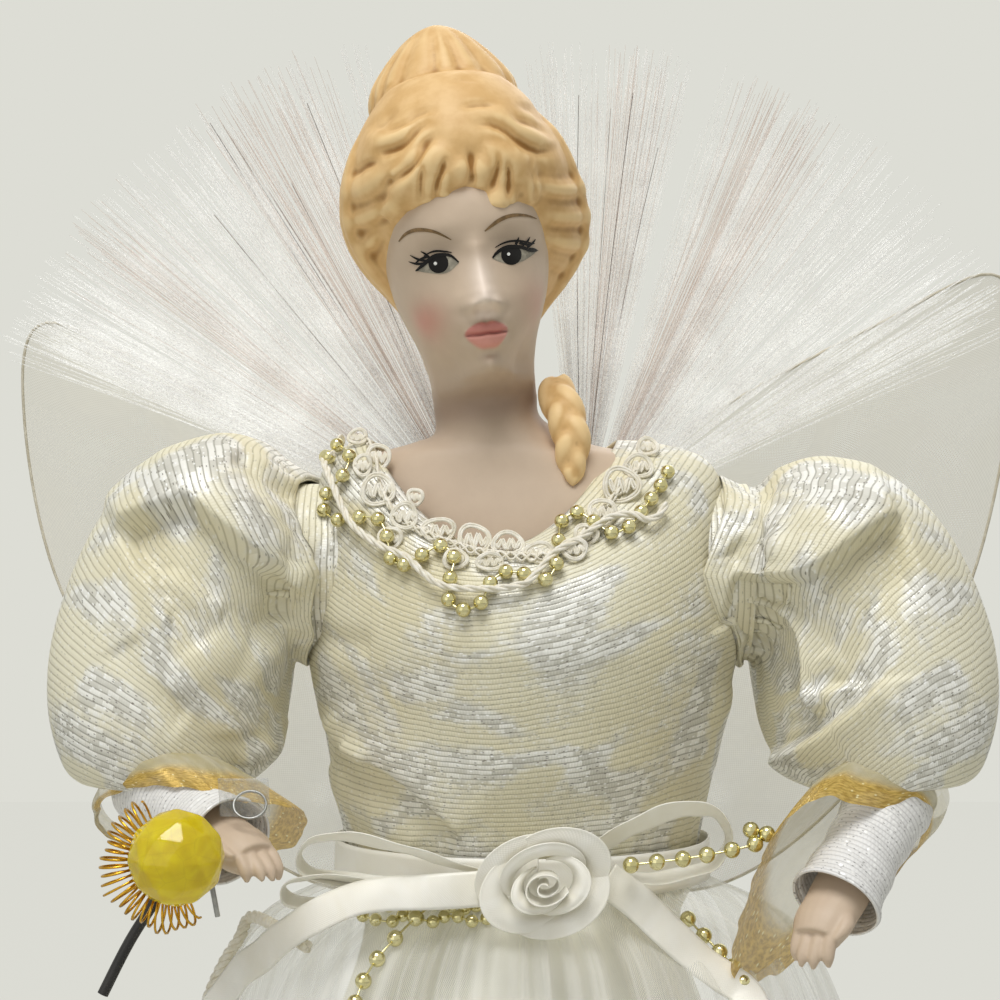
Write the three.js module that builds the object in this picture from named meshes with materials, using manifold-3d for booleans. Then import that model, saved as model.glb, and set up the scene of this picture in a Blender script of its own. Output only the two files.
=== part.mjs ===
// Angel tree topper: a porcelain doll in brocade on a light cone, with wings of optical fibre.
// Millimetres, +Z up, front towards -Y, origin at the centre of the surface that the cone stands on.
import * as THREE from "three";
import { mergeVertices } from "three/addons/utils/BufferGeometryUtils.js";
import Module from "manifold-3d";

const wasm = await Module();
wasm.setup();

// Driving dimensions
const FIT = 0.4; // clearance between pieces that touch
const CLOTH = 0.8; // wall of lined cloth
const ORGANZA = 0.5; // wall of sheer cloth
const CONE_FOOT_RADIUS = 94;
const CONE_TOP_RADIUS = 24;
const CONE_HEIGHT = 203;
const CONE_WALL = 1.8;
const TORSO_SEAT = 14; // waist seam above the cone's top
const WAIST = CONE_HEIGHT + TORSO_SEAT;
const SKIRT_LIFT = 3; // hems stay clear of the surface
const UNDERSKIRT_STANDOFF = 4;
const UNDERSKIRT_FOLD = 1.4;
const OVERSKIRT_FOLD = 4;
const WAIST_HALF_WIDTH = 32;
const WAIST_FRONT = 24;
const WAIST_BACK = 21.5;
const BUST_HALF_WIDTH = 38.6;
const BUST_FRONT = 31;
const BUST_HEIGHT = 38; // above the waist
const NECKLINE_HALF_WIDTH = 22;
const NECKLINE_FRONT = 20.5;
const NECK_SHIFT = -5; // the doll holds its neck to its right
const SHOULDER_HEIGHT = 51; // arm axis above the waist
const ARM_INSET = 39.6; // start of the sleeves, outside the bust
const TORSO_TOP = 55;
const HEAD_LEAN = 7.4; // degrees, towards the viewer's left
const HEAD_TURN = 5; // degrees, towards the viewer's right
const RIBBON_WIDTH = 7;
const RIBBON = 0.5;
const BEAD_RADIUS = 1.3;
const BEAD_PITCH = 3.2;
const THREAD_RADIUS = 0.45;
const CORD_RADIUS = 0.6;
const PIN_RADIUS = 1.4;
const PIN_HEAD_RADIUS = 3;
const ARM_WIRE_RADIUS = 0.9;
const TRUNK_RADIUS = 4.5;
const FIBRE_RADIUS = 0.28;
const CRYSTAL_RADIUS = 8;
const CURL_RADIUS = 2.4;
const CURL_WIRE = 0.35;
const CURLS = 12;

// Small tools for solids
const V = (x, y, z) => new THREE.Vector3(x, y, z);
const rad = THREE.MathUtils.degToRad;

function fromTriangles(points, index) {
  const geometry = new THREE.BufferGeometry();
  const coordinates = points.flatMap((p) => [p.x, p.y, p.z]);
  geometry.setAttribute("position", new THREE.Float32BufferAttribute(coordinates, 3));
  let volume = 0;
  for (let i = 0; i < index.length; i += 3) {
    const [a, b, c] = [points[index[i]], points[index[i + 1]], points[index[i + 2]]];
    volume += a.dot(b.clone().cross(c));
  }
  geometry.setIndex(volume < 0 ? [...index].reverse() : index);
  return geometry;
}

// Skin over a row of rings with equal counts, capped at both ends or joined end to start.
function loft(rings, joined = false) {
  const sides = rings[0].length;
  const points = rings.flat();
  const index = [];
  const spans = joined ? rings.length : rings.length - 1;
  for (let r = 0; r < spans; r++) {
    const low = r * sides;
    const high = ((r + 1) % rings.length) * sides;
    for (let s = 0; s < sides; s++) {
      const t = (s + 1) % sides;
      index.push(low + s, low + t, high + t, low + s, high + t, high + s);
    }
  }
  if (!joined) {
    for (const end of [0, rings.length - 1]) {
      const hub = points.length;
      const middle = V(0, 0, 0);
      rings[end].forEach((p) => middle.addScaledVector(p, 1 / sides));
      points.push(middle);
      for (let s = 0; s < sides; s++) {
        const a = end * sides + s;
        const b = end * sides + ((s + 1) % sides);
        index.push(...(end ? [a, b, hub] : [b, a, hub]));
      }
    }
  }
  return fromTriangles(points, index);
}

// Wall between an outer and an inner row of rings, open at both ends.
const shell = (outer, inner) => loft([...outer, ...[...inner].reverse()], true);

// Horizontal oval ring: half width, front and back reach, sideways shift, and how far its front dips.
function oval({ z, x, front, back, shift = 0, drop = 0 }, sides, waves = 0, depth = 0) {
  return Array.from({ length: sides }, (_, i) => {
    const angle = (2 * Math.PI * i) / sides;
    const swell = 1 + (depth / x) * Math.cos(waves * angle);
    const s = Math.sin(angle);
    const reach = s < 0 ? front : back;
    return V(shift + x * swell * Math.cos(angle), reach * swell * s, z - drop * Math.max(0, -s) ** 2);
  });
}

const round = (z, radius) => ({ z, x: radius, front: radius, back: radius });

// The same rings moved inwards along the slope of their profile.
function insetRings(rings, amount) {
  return rings.map((ring, i) => {
    const low = rings[Math.max(0, i - 1)];
    const high = rings[Math.min(rings.length - 1, i + 1)];
    const run = V(high.x - low.x, 0, high.z - low.z).normalize();
    return {
      ...ring,
      x: ring.x - amount * run.z,
      front: ring.front - amount * run.z,
      back: ring.back - amount * run.z,
      z: ring.z + amount * run.x,
    };
  });
}

// Direction of a path at one of its points.
function heading(points, i) {
  const before = points[Math.max(0, i - 1)];
  const after = points[Math.min(points.length - 1, i + 1)];
  return after.clone().sub(before).normalize();
}

// Rings across a path, each turned to the path's direction there.
function ringsAlong(points, radii, sides, waves = 0, depth = 0) {
  const curve = new THREE.CatmullRomCurve3(points);
  const frames = curve.computeFrenetFrames(points.length - 1, false);
  return points.map((p, i) => {
    const along = heading(points, i);
    const normal = frames.normals[i];
    const across = normal.clone().addScaledVector(along, -normal.dot(along)).normalize();
    const up = along.clone().cross(across);
    return Array.from({ length: sides }, (_, s) => {
      const angle = (2 * Math.PI * s) / sides;
      const r = radii[i] * (1 + depth * Math.cos(waves * angle));
      return p.clone().addScaledVector(across, r * Math.cos(angle)).addScaledVector(up, r * Math.sin(angle));
    });
  });
}

const tube = (points, radius, sides = 6) => loft(ringsAlong(points, points.map(() => radius), sides));

// Smooth points at an even spacing along a hand-chosen route.
const smooth = (route, steps) => new THREE.CatmullRomCurve3(route).getSpacedPoints(steps);

// String of beads on its thread: one skin that swells at each bead.
function beadString(route) {
  const curve = new THREE.CatmullRomCurve3(route);
  const beads = Math.max(2, Math.round(curve.getLength() / BEAD_PITCH));
  const points = curve.getSpacedPoints(3 * beads);
  const radii = points.map((_, i) => (i % 3 === 0 ? THREAD_RADIUS : BEAD_RADIUS));
  return loft(ringsAlong(points, radii, 4));
}

// Corners of a flat ribbon's section at one point of its route.
function ribbonCorners(point, across, out, width, thickness) {
  const corner = (a, b) => {
    const moved = point.clone().addScaledVector(across, (a * width) / 2);
    return moved.addScaledVector(out, (b * thickness) / 2);
  };
  return [corner(-1, -1), corner(1, -1), corner(1, 1), corner(-1, 1)];
}

// Flat strip along a route; faces holds the direction that its face looks in at each point.
function strip(points, faces, width, thickness) {
  const rings = points.map((p, i) => {
    const along = heading(points, i);
    const across = along.clone().cross(faces[i]).normalize();
    const out = across.clone().cross(along);
    return ribbonCorners(p, across, out, width, thickness);
  });
  return loft(rings);
}

// Closed loop of flat ribbon whose width stands upright.
function band(points, width, thickness) {
  const rings = points.map((p, i) => {
    const before = points[(i + points.length - 1) % points.length];
    const along = points[(i + 1) % points.length].clone().sub(before);
    const out = V(along.y, -along.x, 0).normalize();
    return ribbonCorners(p, V(0, 0, 1), out, width, thickness);
  });
  return loft(rings, true);
}

// Sheet of even thickness over a grid of points.
function sheet(grid, thickness) {
  const [rows, columns] = [grid.length, grid[0].length];
  const push = V(0, thickness / 2, 0);
  const flat = grid.flat();
  const points = [...flat.map((p) => p.clone().sub(push)), ...flat.map((p) => p.clone().add(push))];
  const at = (layer, r, c) => layer * rows * columns + r * columns + c;
  const index = [];
  const quad = (a, b, c, d) => index.push(a, b, c, a, c, d);
  for (let r = 0; r < rows - 1; r++) {
    for (let c = 0; c < columns - 1; c++) {
      quad(at(0, r, c), at(0, r, c + 1), at(0, r + 1, c + 1), at(0, r + 1, c));
      quad(at(1, r, c), at(1, r + 1, c), at(1, r + 1, c + 1), at(1, r, c + 1));
    }
    quad(at(0, r, 0), at(0, r + 1, 0), at(1, r + 1, 0), at(1, r, 0));
    const end = columns - 1;
    quad(at(0, r, end), at(1, r, end), at(1, r + 1, end), at(0, r + 1, end));
  }
  for (let c = 0; c < columns - 1; c++) {
    quad(at(0, 0, c), at(1, 0, c), at(1, 0, c + 1), at(0, 0, c + 1));
    const end = rows - 1;
    quad(at(0, end, c), at(0, end, c + 1), at(1, end, c + 1), at(1, end, c));
  }
  return fromTriangles(points, index);
}

function lathe(profile, segments = 32) {
  const points = profile.map(([r, z]) => new THREE.Vector2(r, z));
  const geometry = new THREE.LatheGeometry(points, segments).rotateX(Math.PI / 2);
  geometry.deleteAttribute("normal").deleteAttribute("uv");
  const merged = mergeVertices(geometry, 1e-4);
  const at = merged.getAttribute("position");
  const corners = Array.from({ length: at.count }, (_, i) => V(at.getX(i), at.getY(i), at.getZ(i)));
  const index = [...merged.index.array];
  const whole = [];
  for (let i = 0; i < index.length; i += 3) {
    const [a, b, c] = index.slice(i, i + 3);
    if (a !== b && b !== c && a !== c) whole.push(a, b, c);
  }
  return fromTriangles(corners, whole);
}

function toSolid(geometry) {
  const bare = new THREE.BufferGeometry().setAttribute("position", geometry.getAttribute("position"));
  bare.setIndex(geometry.index);
  const merged = mergeVertices(bare, 1e-4);
  return new wasm.Manifold(
    new wasm.Mesh({
      numProp: 3,
      vertProperties: new Float32Array(merged.getAttribute("position").array),
      triVerts: new Uint32Array(merged.index.array),
    }),
  );
}

function toGeometry(solid) {
  const mesh = solid.getMesh();
  const geometry = new THREE.BufferGeometry();
  geometry.setAttribute("position", new THREE.BufferAttribute(new Float32Array(mesh.vertProperties), 3));
  return geometry.setIndex(new THREE.BufferAttribute(new Uint32Array(mesh.triVerts), 1));
}

const join = (...parts) => toGeometry(parts.map(toSolid).reduce((a, b) => a.add(b)));
const cut = (body, ...tools) => toGeometry(tools.map(toSolid).reduce((a, b) => a.subtract(b), toSolid(body)));

const finish = (color, roughness = 0.7, metalness = 0) =>
  new THREE.MeshStandardMaterial({ color, roughness, metalness });
const PORCELAIN = finish(0xd3bdb0, 0.55);
const BROCADE = finish(0xe6e0cf, 0.55);
const SATIN = finish(0xefe8d2, 0.35);
const SHEER = finish(0xe9e4d4, 0.8);
const GOLD_CLOTH = finish(0xcfae5a, 0.6, 0.3);
const SILVER_CLOTH = finish(0xdfe0dc, 0.45, 0.2);
const LACE_FINISH = finish(0xefe9d8, 0.9);
const GOLD = finish(0xb79a4a, 0.25, 1);
const CRYSTAL = finish(0xe6c400, 0.1);
const CLEAR = finish(0xe8ecec, 0.15);
const FIBRE = finish(0xe6e6e0, 0.2);
const WIRE = finish(0x6e6a64, 0.4, 1);
const STUFFED_CLOTH = finish(0xe2dccb, 0.9);
const WHITE_PLASTIC = finish(0xe8e6de, 0.5);
const BLACK_PLASTIC = finish(0x2a2a2a, 0.6);
const ALUMINIUM = finish(0xc8c8c8, 0.3, 1);
const BRASS = finish(0xb58d3d, 0.3, 1);

const topper = new THREE.Group();
function add(group, name, geometry, material) {
  const mesh = new THREE.Mesh(geometry, material);
  mesh.name = name;
  group.add(mesh);
  return mesh;
}

// Light cone that the topper stands on
const coneSlope = (CONE_FOOT_RADIUS - CONE_TOP_RADIUS) / CONE_HEIGHT;
const coneRadius = (z) => CONE_FOOT_RADIUS - coneSlope * z;
const coneInner = (z) => coneRadius(z) - CONE_WALL * Math.hypot(1, coneSlope);
const trunkHole = TRUNK_RADIUS + FIT;
add(
  topper,
  "base_cone",
  lathe(
    [
      [coneInner(0), 0],
      [CONE_FOOT_RADIUS, 0],
      [CONE_TOP_RADIUS, CONE_HEIGHT],
      [trunkHole, CONE_HEIGHT],
      [trunkHole, CONE_HEIGHT - CONE_WALL],
      [coneInner(CONE_HEIGHT - CONE_WALL), CONE_HEIGHT - CONE_WALL],
      [coneInner(0), 0],
    ],
    28,
  ),
  WHITE_PLASTIC,
);

// Light unit under the cone's top: housing, lamp, reflector, colour wheel and motor
const HOUSING_RADIUS = 30;
const HOUSING_WALL = 1.5;
const HOUSING_LENGTH = 52;
const HOUSING_DROP = 35; // under the cone's top
const HOUSING_TOP = CONE_HEIGHT - HOUSING_DROP;
const HOUSING_FLANGE = 2.5;
const HOLDER_HEIGHT = 9;
const HOLDER_RADIUS = 12;
const LAMP_RADIUS = 4;
const LAMP_LENGTH = 15;
const REFLECTOR_RADIUS = 9;
const REFLECTOR_HEIGHT = 11;
const REFLECTOR_WALL = 1;
const HOLDER_RIM = 3;
const WHEEL_RADIUS = 16;
const WHEEL_THICKNESS = 1.2;
const WHEEL_OFFSET = 11.5;
const WHEEL_GAP = 2; // under the housing's roof
const SHAFT_RADIUS = 1;
const SHAFT_END = 0.8; // above the wheel
const MOTOR_GAP = 4; // under the wheel
const MOTOR_RADIUS = 5.5;
const MOTOR_LENGTH = 12;
const BRACKET = 1.2;
const BRACKET_WIDTH = 8;
const FERRULE_WALL = 1;
const FERRULE_LENGTH = 12;

const unit = new THREE.Group();
unit.position.z = HOUSING_TOP;
topper.add(unit);
const housingFloor = -HOUSING_LENGTH;
const flangeTop = -HOUSING_LENGTH / 2;
const flangeRadius = coneInner(HOUSING_TOP + flangeTop) - FIT;
const ferruleHole = TRUNK_RADIUS + FERRULE_WALL + FIT;
const holderHole = HOLDER_RADIUS + FIT;
const disc = (radius, low, high, segments = 24) =>
  lathe([[0, low], [radius, low], [radius, high], [0, high]], segments);
const ringDisc = (inner, outer, low, high, segments = 24) =>
  lathe([[inner, low], [outer, low], [outer, high], [inner, high], [inner, low]], segments);
const housingCup = lathe(
  [
    [0, -HOUSING_WALL],
    [HOUSING_RADIUS - HOUSING_WALL, -HOUSING_WALL],
    [HOUSING_RADIUS - HOUSING_WALL, housingFloor + HOUSING_WALL],
    [0, housingFloor + HOUSING_WALL],
    [0, housingFloor],
    [HOUSING_RADIUS, housingFloor],
    [HOUSING_RADIUS, flangeTop - HOUSING_FLANGE],
    [flangeRadius - HOUSING_FLANGE * coneSlope, flangeTop - HOUSING_FLANGE],
    [flangeRadius - HOUSING_FLANGE * coneSlope, flangeTop],
    [HOUSING_RADIUS, flangeTop],
    [HOUSING_RADIUS, 0],
    [0, 0],
  ],
  20,
);
const wheelAxis = (geometry) => geometry.translate(0, WHEEL_OFFSET, 0);
add(
  unit,
  "light_housing",
  cut(
    housingCup,
    disc(ferruleHole, -2 * HOUSING_WALL, HOUSING_WALL),
    disc(holderHole, housingFloor - HOUSING_WALL, housingFloor + 2 * HOUSING_WALL),
  ),
  BLACK_PLASTIC,
);
const holderTop = housingFloor + HOLDER_HEIGHT;
add(
  unit,
  "lamp_holder",
  lathe(
    [
      [0, housingFloor - FIT - HOLDER_RIM],
      [HOLDER_RADIUS + HOLDER_RIM, housingFloor - FIT - HOLDER_RIM],
      [HOLDER_RADIUS + HOLDER_RIM, housingFloor - FIT],
      [HOLDER_RADIUS, housingFloor - FIT],
      [HOLDER_RADIUS, holderTop],
      [0, holderTop],
    ],
    24,
  ),
  BLACK_PLASTIC,
);
const lampFoot = holderTop + FIT;
const lampTip = lampFoot + LAMP_LENGTH;
add(
  unit,
  "lamp",
  lathe(
    [
      [0, lampFoot],
      [LAMP_RADIUS, lampFoot],
      [LAMP_RADIUS, lampTip - LAMP_RADIUS],
      [0.7 * LAMP_RADIUS, lampTip - 0.3 * LAMP_RADIUS],
      [0, lampTip],
    ],
    16,
  ),
  CLEAR,
);
const reflectorThroat = LAMP_RADIUS + FIT;
add(
  unit,
  "reflector",
  lathe(
    [
      [reflectorThroat, lampFoot],
      [REFLECTOR_RADIUS, lampFoot + REFLECTOR_HEIGHT],
      [REFLECTOR_RADIUS + REFLECTOR_WALL, lampFoot + REFLECTOR_HEIGHT],
      [reflectorThroat + REFLECTOR_WALL, lampFoot],
      [reflectorThroat, lampFoot],
    ],
    20,
  ),
  ALUMINIUM,
);
const wheelTop = -HOUSING_WALL - WHEEL_GAP;
const wheelFoot = wheelTop - WHEEL_THICKNESS;
const wheel = ringDisc(SHAFT_RADIUS + FIT / 2, WHEEL_RADIUS, wheelFoot, wheelTop, 20);
add(unit, "colour_wheel", wheelAxis(wheel), CLEAR);
const motorTop = wheelFoot - MOTOR_GAP;
const shaft = disc(SHAFT_RADIUS, motorTop + FIT, wheelTop + SHAFT_END, 12);
add(unit, "wheel_shaft", wheelAxis(shaft), ALUMINIUM);
add(unit, "wheel_motor", wheelAxis(disc(MOTOR_RADIUS, motorTop - MOTOR_LENGTH, motorTop)), ALUMINIUM);
const bracketTop = motorTop - MOTOR_LENGTH - FIT;
const bracketNear = WHEEL_OFFSET - MOTOR_RADIUS;
const bracketFar = Math.sqrt((HOUSING_RADIUS - HOUSING_WALL) ** 2 - (BRACKET_WIDTH / 2) ** 2) - FIT;
const bracketPlate = new THREE.BoxGeometry(BRACKET_WIDTH, bracketFar - bracketNear, BRACKET);
bracketPlate.translate(0, (bracketNear + bracketFar) / 2, bracketTop - BRACKET / 2);
add(unit, "motor_bracket", bracketPlate, ALUMINIUM);
const ferruleTop = FERRULE_LENGTH - HOUSING_WALL;
const ferruleOuter = TRUNK_RADIUS + FERRULE_WALL;
const ferrule = ringDisc(TRUNK_RADIUS + FIT / 2, ferruleOuter, -HOUSING_WALL, ferruleTop, 20);
add(unit, "fibre_ferrule", ferrule, BRASS);

// Waist, where torso, skirts, bodice and ribbon lie one over the other
const grow = (ring, by) => ({ ...ring, x: ring.x + by, front: ring.front + by, back: ring.back + by });
const GATHER = 0.4; // depth of the fine gathers at the waist
const ribHalfWidth = 0.4 * WAIST_HALF_WIDTH + 0.6 * BUST_HALF_WIDTH;
// Ring near the neckline: how much wider and further forward it is, and its share of the neck's shift.
const neckRing = (z, wider, further, back, share, drop) => ({
  z,
  x: NECKLINE_HALF_WIDTH + wider,
  front: NECKLINE_FRONT + further,
  back,
  shift: share * NECK_SHIFT,
  drop,
});
const bodiceRings = [
  { z: 0, x: WAIST_HALF_WIDTH - 0.4, front: WAIST_FRONT - 1, back: WAIST_BACK - 0.5 },
  { z: 5, x: WAIST_HALF_WIDTH, front: WAIST_FRONT, back: WAIST_BACK },
  { z: 23, x: ribHalfWidth, front: BUST_FRONT - 2.5, back: WAIST_BACK + 1.5 },
  { z: BUST_HEIGHT, x: BUST_HALF_WIDTH, front: BUST_FRONT, back: WAIST_BACK + 2.5 },
  { z: 51, x: BUST_HALF_WIDTH - 0.4, front: BUST_FRONT - 1.5, back: WAIST_BACK + 2.5, drop: 4 },
  { z: 63, x: BUST_HALF_WIDTH - 1.5, front: NECKLINE_FRONT + 6, back: WAIST_BACK + 1, drop: 11 },
  neckRing(71, 12, 3, 19, 0.2, 16.5),
  neckRing(74, 5, 1.3, 16, 0.6, 18.6),
  neckRing(74.5, 0, 0, 14, 1, 18.9),
];
const torsoWaist = insetRings(bodiceRings, CLOTH + FIT)[0];
const underTop = grow(torsoWaist, FIT + ORGANZA);
const overTop = grow(underTop, FIT + ORGANZA + GATHER);
const bandInner = grow(overTop, GATHER + FIT);

// Skirts: a satin one over the cone and a fuller, folded organza one over it
const skirtHeights = [SKIRT_LIFT, CONE_HEIGHT - 143, CONE_HEIGHT - 78, CONE_HEIGHT - 28, CONE_HEIGHT];
const skirtTop = WAIST - FIT;
const underRings = skirtHeights.map((z) => round(z, coneRadius(z) + UNDERSKIRT_STANDOFF));
underRings.push({ ...underTop, z: skirtTop - RIBBON_WIDTH / 2 });
underRings.push({ ...underTop, z: skirtTop });
const underFold = (ring) => (ring.z > CONE_HEIGHT - 1 ? 0 : UNDERSKIRT_FOLD);
const UNDER_WAVES = 8;
const underWall = (inset) =>
  underRings.map((ring) => oval(grow(ring, -inset), 3 * UNDER_WAVES, UNDER_WAVES, underFold(ring)));
add(topper, "satin_underskirt", shell(underWall(0), underWall(ORGANZA)), SATIN);

const OVERSKIRT_FULLNESS = [0, 10, 15, 17, 15]; // bell shape, beyond the underskirt, hem to waist
const OVER_WAVES = 12;
const overGap = UNDERSKIRT_FOLD + FIT + ORGANZA + OVERSKIRT_FOLD;
const OVER_TUCK_FRONT = 8; // the skirt's shoulder is flatter front and back
const OVER_TUCK_BACK = 10;
const overRings = skirtHeights.map((z, i) => {
  const radius = coneRadius(z) + UNDERSKIRT_STANDOFF + overGap + OVERSKIRT_FULLNESS[i];
  return round(z, radius);
});
overRings.at(-1).front -= OVER_TUCK_FRONT;
overRings.at(-1).back -= OVER_TUCK_BACK;
overRings.push({ ...overTop, z: skirtTop - RIBBON_WIDTH / 2 });
overRings.push({ ...overTop, z: skirtTop });
const overFold = (ring) => {
  const share = (skirtTop - ring.z) / (skirtTop - SKIRT_LIFT);
  return Math.max(GATHER, OVERSKIRT_FOLD * Math.sqrt(Math.max(0, share)));
};
const HEM_BAND = 1.2;
const hemLift = HEM_BAND + FIT;
const overWall = (inset) =>
  overRings.map((ring, i) => {
    const lifted = i === 0 ? { ...ring, z: ring.z + hemLift } : ring;
    return oval(grow(lifted, -inset), 4 * OVER_WAVES, OVER_WAVES, overFold(ring));
  });
add(topper, "organza_overskirt", shell(overWall(0), overWall(ORGANZA)), SHEER);
const hemRing = (z, inset) =>
  oval({ ...grow(overRings[0], -inset), z }, 4 * OVER_WAVES, OVER_WAVES, overFold(overRings[0]));
const hemWall = (inset) => [hemRing(SKIRT_LIFT, inset), hemRing(SKIRT_LIFT + HEM_BAND, inset)];
add(topper, "gold_hem", shell(hemWall(0), hemWall(ORGANZA)), GOLD_CLOTH);

// Oval of a row of rings at any height, by straight lines between them
function ringAt(rings, z) {
  let i = 0;
  while (i < rings.length - 2 && rings[i + 1].z < z) i++;
  const [a, b] = [rings[i], rings[i + 1]];
  const t = (z - a.z) / (b.z - a.z);
  const mix = (key) => a[key] + t * (b[key] - a[key]);
  return { z, x: mix("x"), front: mix("front"), back: mix("back") };
}

// Point on the front of the overskirt, lifted off its folds, with the direction that its face looks in.
function skirtPoint(x, z, lift) {
  const ring = grow(ringAt(overRings, z), overFold({ z }));
  const c = Math.min(0.98, Math.abs(x / ring.x)) * Math.sign(x);
  const s = -Math.sqrt(1 - c * c);
  const flare = (ringAt(overRings, z - 2).front - ringAt(overRings, z + 2).front) / 4;
  const face = V(c, s, flare).normalize();
  return { point: V(ring.x * c, ring.front * s, z).addScaledVector(face, lift), face };
}

// Doll above the waist
const doll = new THREE.Group();
doll.position.z = WAIST;
topper.add(doll);
const SIDES = 20;
const trunkRoute = [
  V(0, 0, HOUSING_TOP - WAIST),
  V(0, 0, -TORSO_SEAT),
  V(0, 2, 4),
  V(1, 8, 16),
  V(2, 17, 24),
  V(3, 27, 31),
  V(3, 31, 38),
  V(3, 31, 43),
];
const trunkPoints = smooth(trunkRoute, 16);
const tunnel = tube(trunkPoints, trunkHole, 8);
add(doll, "fibre_trunk", tube(trunkPoints, TRUNK_RADIUS, 8), FIBRE);

const pinBore = new THREE.CylinderGeometry(PIN_RADIUS + FIT, PIN_RADIUS + FIT, 4 * ARM_INSET, 12);
pinBore.rotateZ(Math.PI / 2).translate(0, 0, SHOULDER_HEIGHT);
const torsoRings = [
  { z: FIT - TORSO_SEAT, x: 25, front: 20, back: 18 },
  { z: -6, x: torsoWaist.x - 3, front: torsoWaist.front - 1, back: torsoWaist.back - 1 },
  ...insetRings(bodiceRings, CLOTH + FIT).slice(0, 4),
  { z: 47, x: BUST_HALF_WIDTH - 1.8, front: BUST_FRONT - 3.6, back: WAIST_BACK + 1 },
  { z: 51.5, x: BUST_HALF_WIDTH - 2.4, front: NECKLINE_FRONT + 3.4, back: WAIST_BACK + 0.4 },
  { z: TORSO_TOP, x: BUST_HALF_WIDTH - 3.6, front: NECKLINE_FRONT - 2, back: WAIST_BACK - 1.5 },
];
add(doll, "torso_form", cut(loft(torsoRings.map((r) => oval(r, SIDES))), tunnel, pinBore), STUFFED_CLOTH);
const bodiceOuter = bodiceRings.map((r) => oval(r, SIDES));
const bodiceInner = insetRings(bodiceRings, CLOTH).map((r) => oval(r, SIDES));
add(doll, "bodice", cut(shell(bodiceOuter, bodiceInner), tunnel, pinBore), BROCADE);

// Porcelain head: shoulder plate, neck, face, hair, bun and plait in one casting
const NECK_BASE = V(NECK_SHIFT, -1, 69);
const toHead = new THREE.Matrix4()
  .makeTranslation(NECK_BASE)
  .multiply(new THREE.Matrix4().makeRotationY(-rad(HEAD_LEAN)))
  .multiply(new THREE.Matrix4().makeRotationZ(rad(HEAD_TURN)));
const onHead = (ring) => ring.map((p) => p.clone().applyMatrix4(toHead));
const plateRings = [
  { z: TORSO_TOP + FIT, x: 32, front: NECKLINE_FRONT - 2.4, back: 18 },
  { z: 60, x: 33, front: 16, back: 18 },
  { z: 64, x: 32, front: 13.8, back: 17, shift: 0.2 * NECK_SHIFT },
  { z: 69, x: 26, front: 12.4, back: 14, shift: 0.5 * NECK_SHIFT },
  { z: 72, x: 16, front: 11.6, back: 12, shift: 0.8 * NECK_SHIFT },
];
const faceRings = [
  { z: 8, x: 9.8, front: 10, back: 10.5 },
  { z: 14, x: 9.3, front: 9.8, back: 10.5 },
  { z: 15.8, x: 9.4, front: 16.5, back: 12 },
  { z: 19, x: 9.8, front: 20, back: 15 },
  { z: 23, x: 10.8, front: 21.4, back: 17 },
  { z: 27.5, x: 12.4, front: 23, back: 19 },
  { z: 35, x: 14.4, front: 20.8, back: 20 },
  { z: 40, x: 15, front: 21.6, back: 20 },
  { z: 47, x: 14.6, front: 20.6, back: 19 },
  { z: 56, x: 11, front: 14, back: 14 },
];
const hairRings = [
  { z: 17, x: 9.5, front: -4, back: 14.5 },
  { z: 22, x: 13.5, front: -2, back: 18 },
  { z: 28, x: 19, front: 6, back: 20 },
  { z: 35, x: 22, front: 11, back: 21.5 },
  { z: 42, x: 22.8, front: 15, back: 22 },
  { z: 49, x: 22.4, front: 21.5, back: 22 },
  { z: 56, x: 21, front: 23, back: 21 },
  { z: 63, x: 17.5, front: 19, back: 18.5 },
  { z: 69, x: 11.5, front: 13, back: 13 },
  { z: 71.6, x: 5, front: 5, back: 6 },
];
const bunRings = [
  { z: 58, x: 9, front: 3, back: 15 },
  { z: 65, x: 12.5, front: 6.5, back: 19 },
  { z: 72, x: 13.6, front: 7.6, back: 20 },
  { z: 78, x: 11, front: 5, back: 17.5 },
  { z: 81.6, x: 6, front: 0.5, back: 12 },
  { z: 82.2, x: 2, front: -3, back: 8.5 },
];
// A ring whose front reach is negative starts behind the head's axis.
function lock(ring, sides) {
  const middle = (ring.back - ring.front) / 2;
  const half = (ring.back + ring.front) / 2;
  return oval({ z: ring.z, x: ring.x, front: half, back: half }, sides).map((p) => p.add(V(0, middle, 0)));
}
const HEAD_SIDES = 20;
const casting = loft([
  ...plateRings.map((r) => oval(r, HEAD_SIDES)),
  ...faceRings.map((r) => onHead(oval(r, HEAD_SIDES))),
]);
const hair = loft(hairRings.map((r) => onHead(lock(r, HEAD_SIDES))));
const bun = loft(bunRings.map((r) => onHead(lock(r, 12))));
const PLAIT_RADIUS = 3.7;
const PLAIT_NARROW = 2.6; // between its turns
const plaitSeats = [
  V(5.5, -3.5, 84), V(7, -9, 80), V(8.4, -11.6, 75), V(8.6, -12.6, 69.5), V(8.8, -14, 66.5),
];
const plaitRoute = smooth(plaitSeats, 12);
const plaitRadii = plaitRoute.map((_, i) => (i % 3 === 0 ? PLAIT_NARROW : PLAIT_RADIUS) * (i > 10 ? 0.5 : 1));
const plait = loft(ringsAlong(plaitRoute, plaitRadii, 8));
const CASTING_WALL = 3;
const HOLLOW_SIDES = 12;
const hollowRings = (rings) => rings.map((r) => oval(grow(r, -CASTING_WALL), HOLLOW_SIDES));
const hollow = loft([
  oval({ ...grow(plateRings[0], -CASTING_WALL), z: TORSO_TOP }, HOLLOW_SIDES),
  ...hollowRings(plateRings.slice(1)),
  ...hollowRings(faceRings).map(onHead),
]);
add(doll, "porcelain_head", cut(join(casting, hair, bun, plait), hollow), PORCELAIN);

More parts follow.
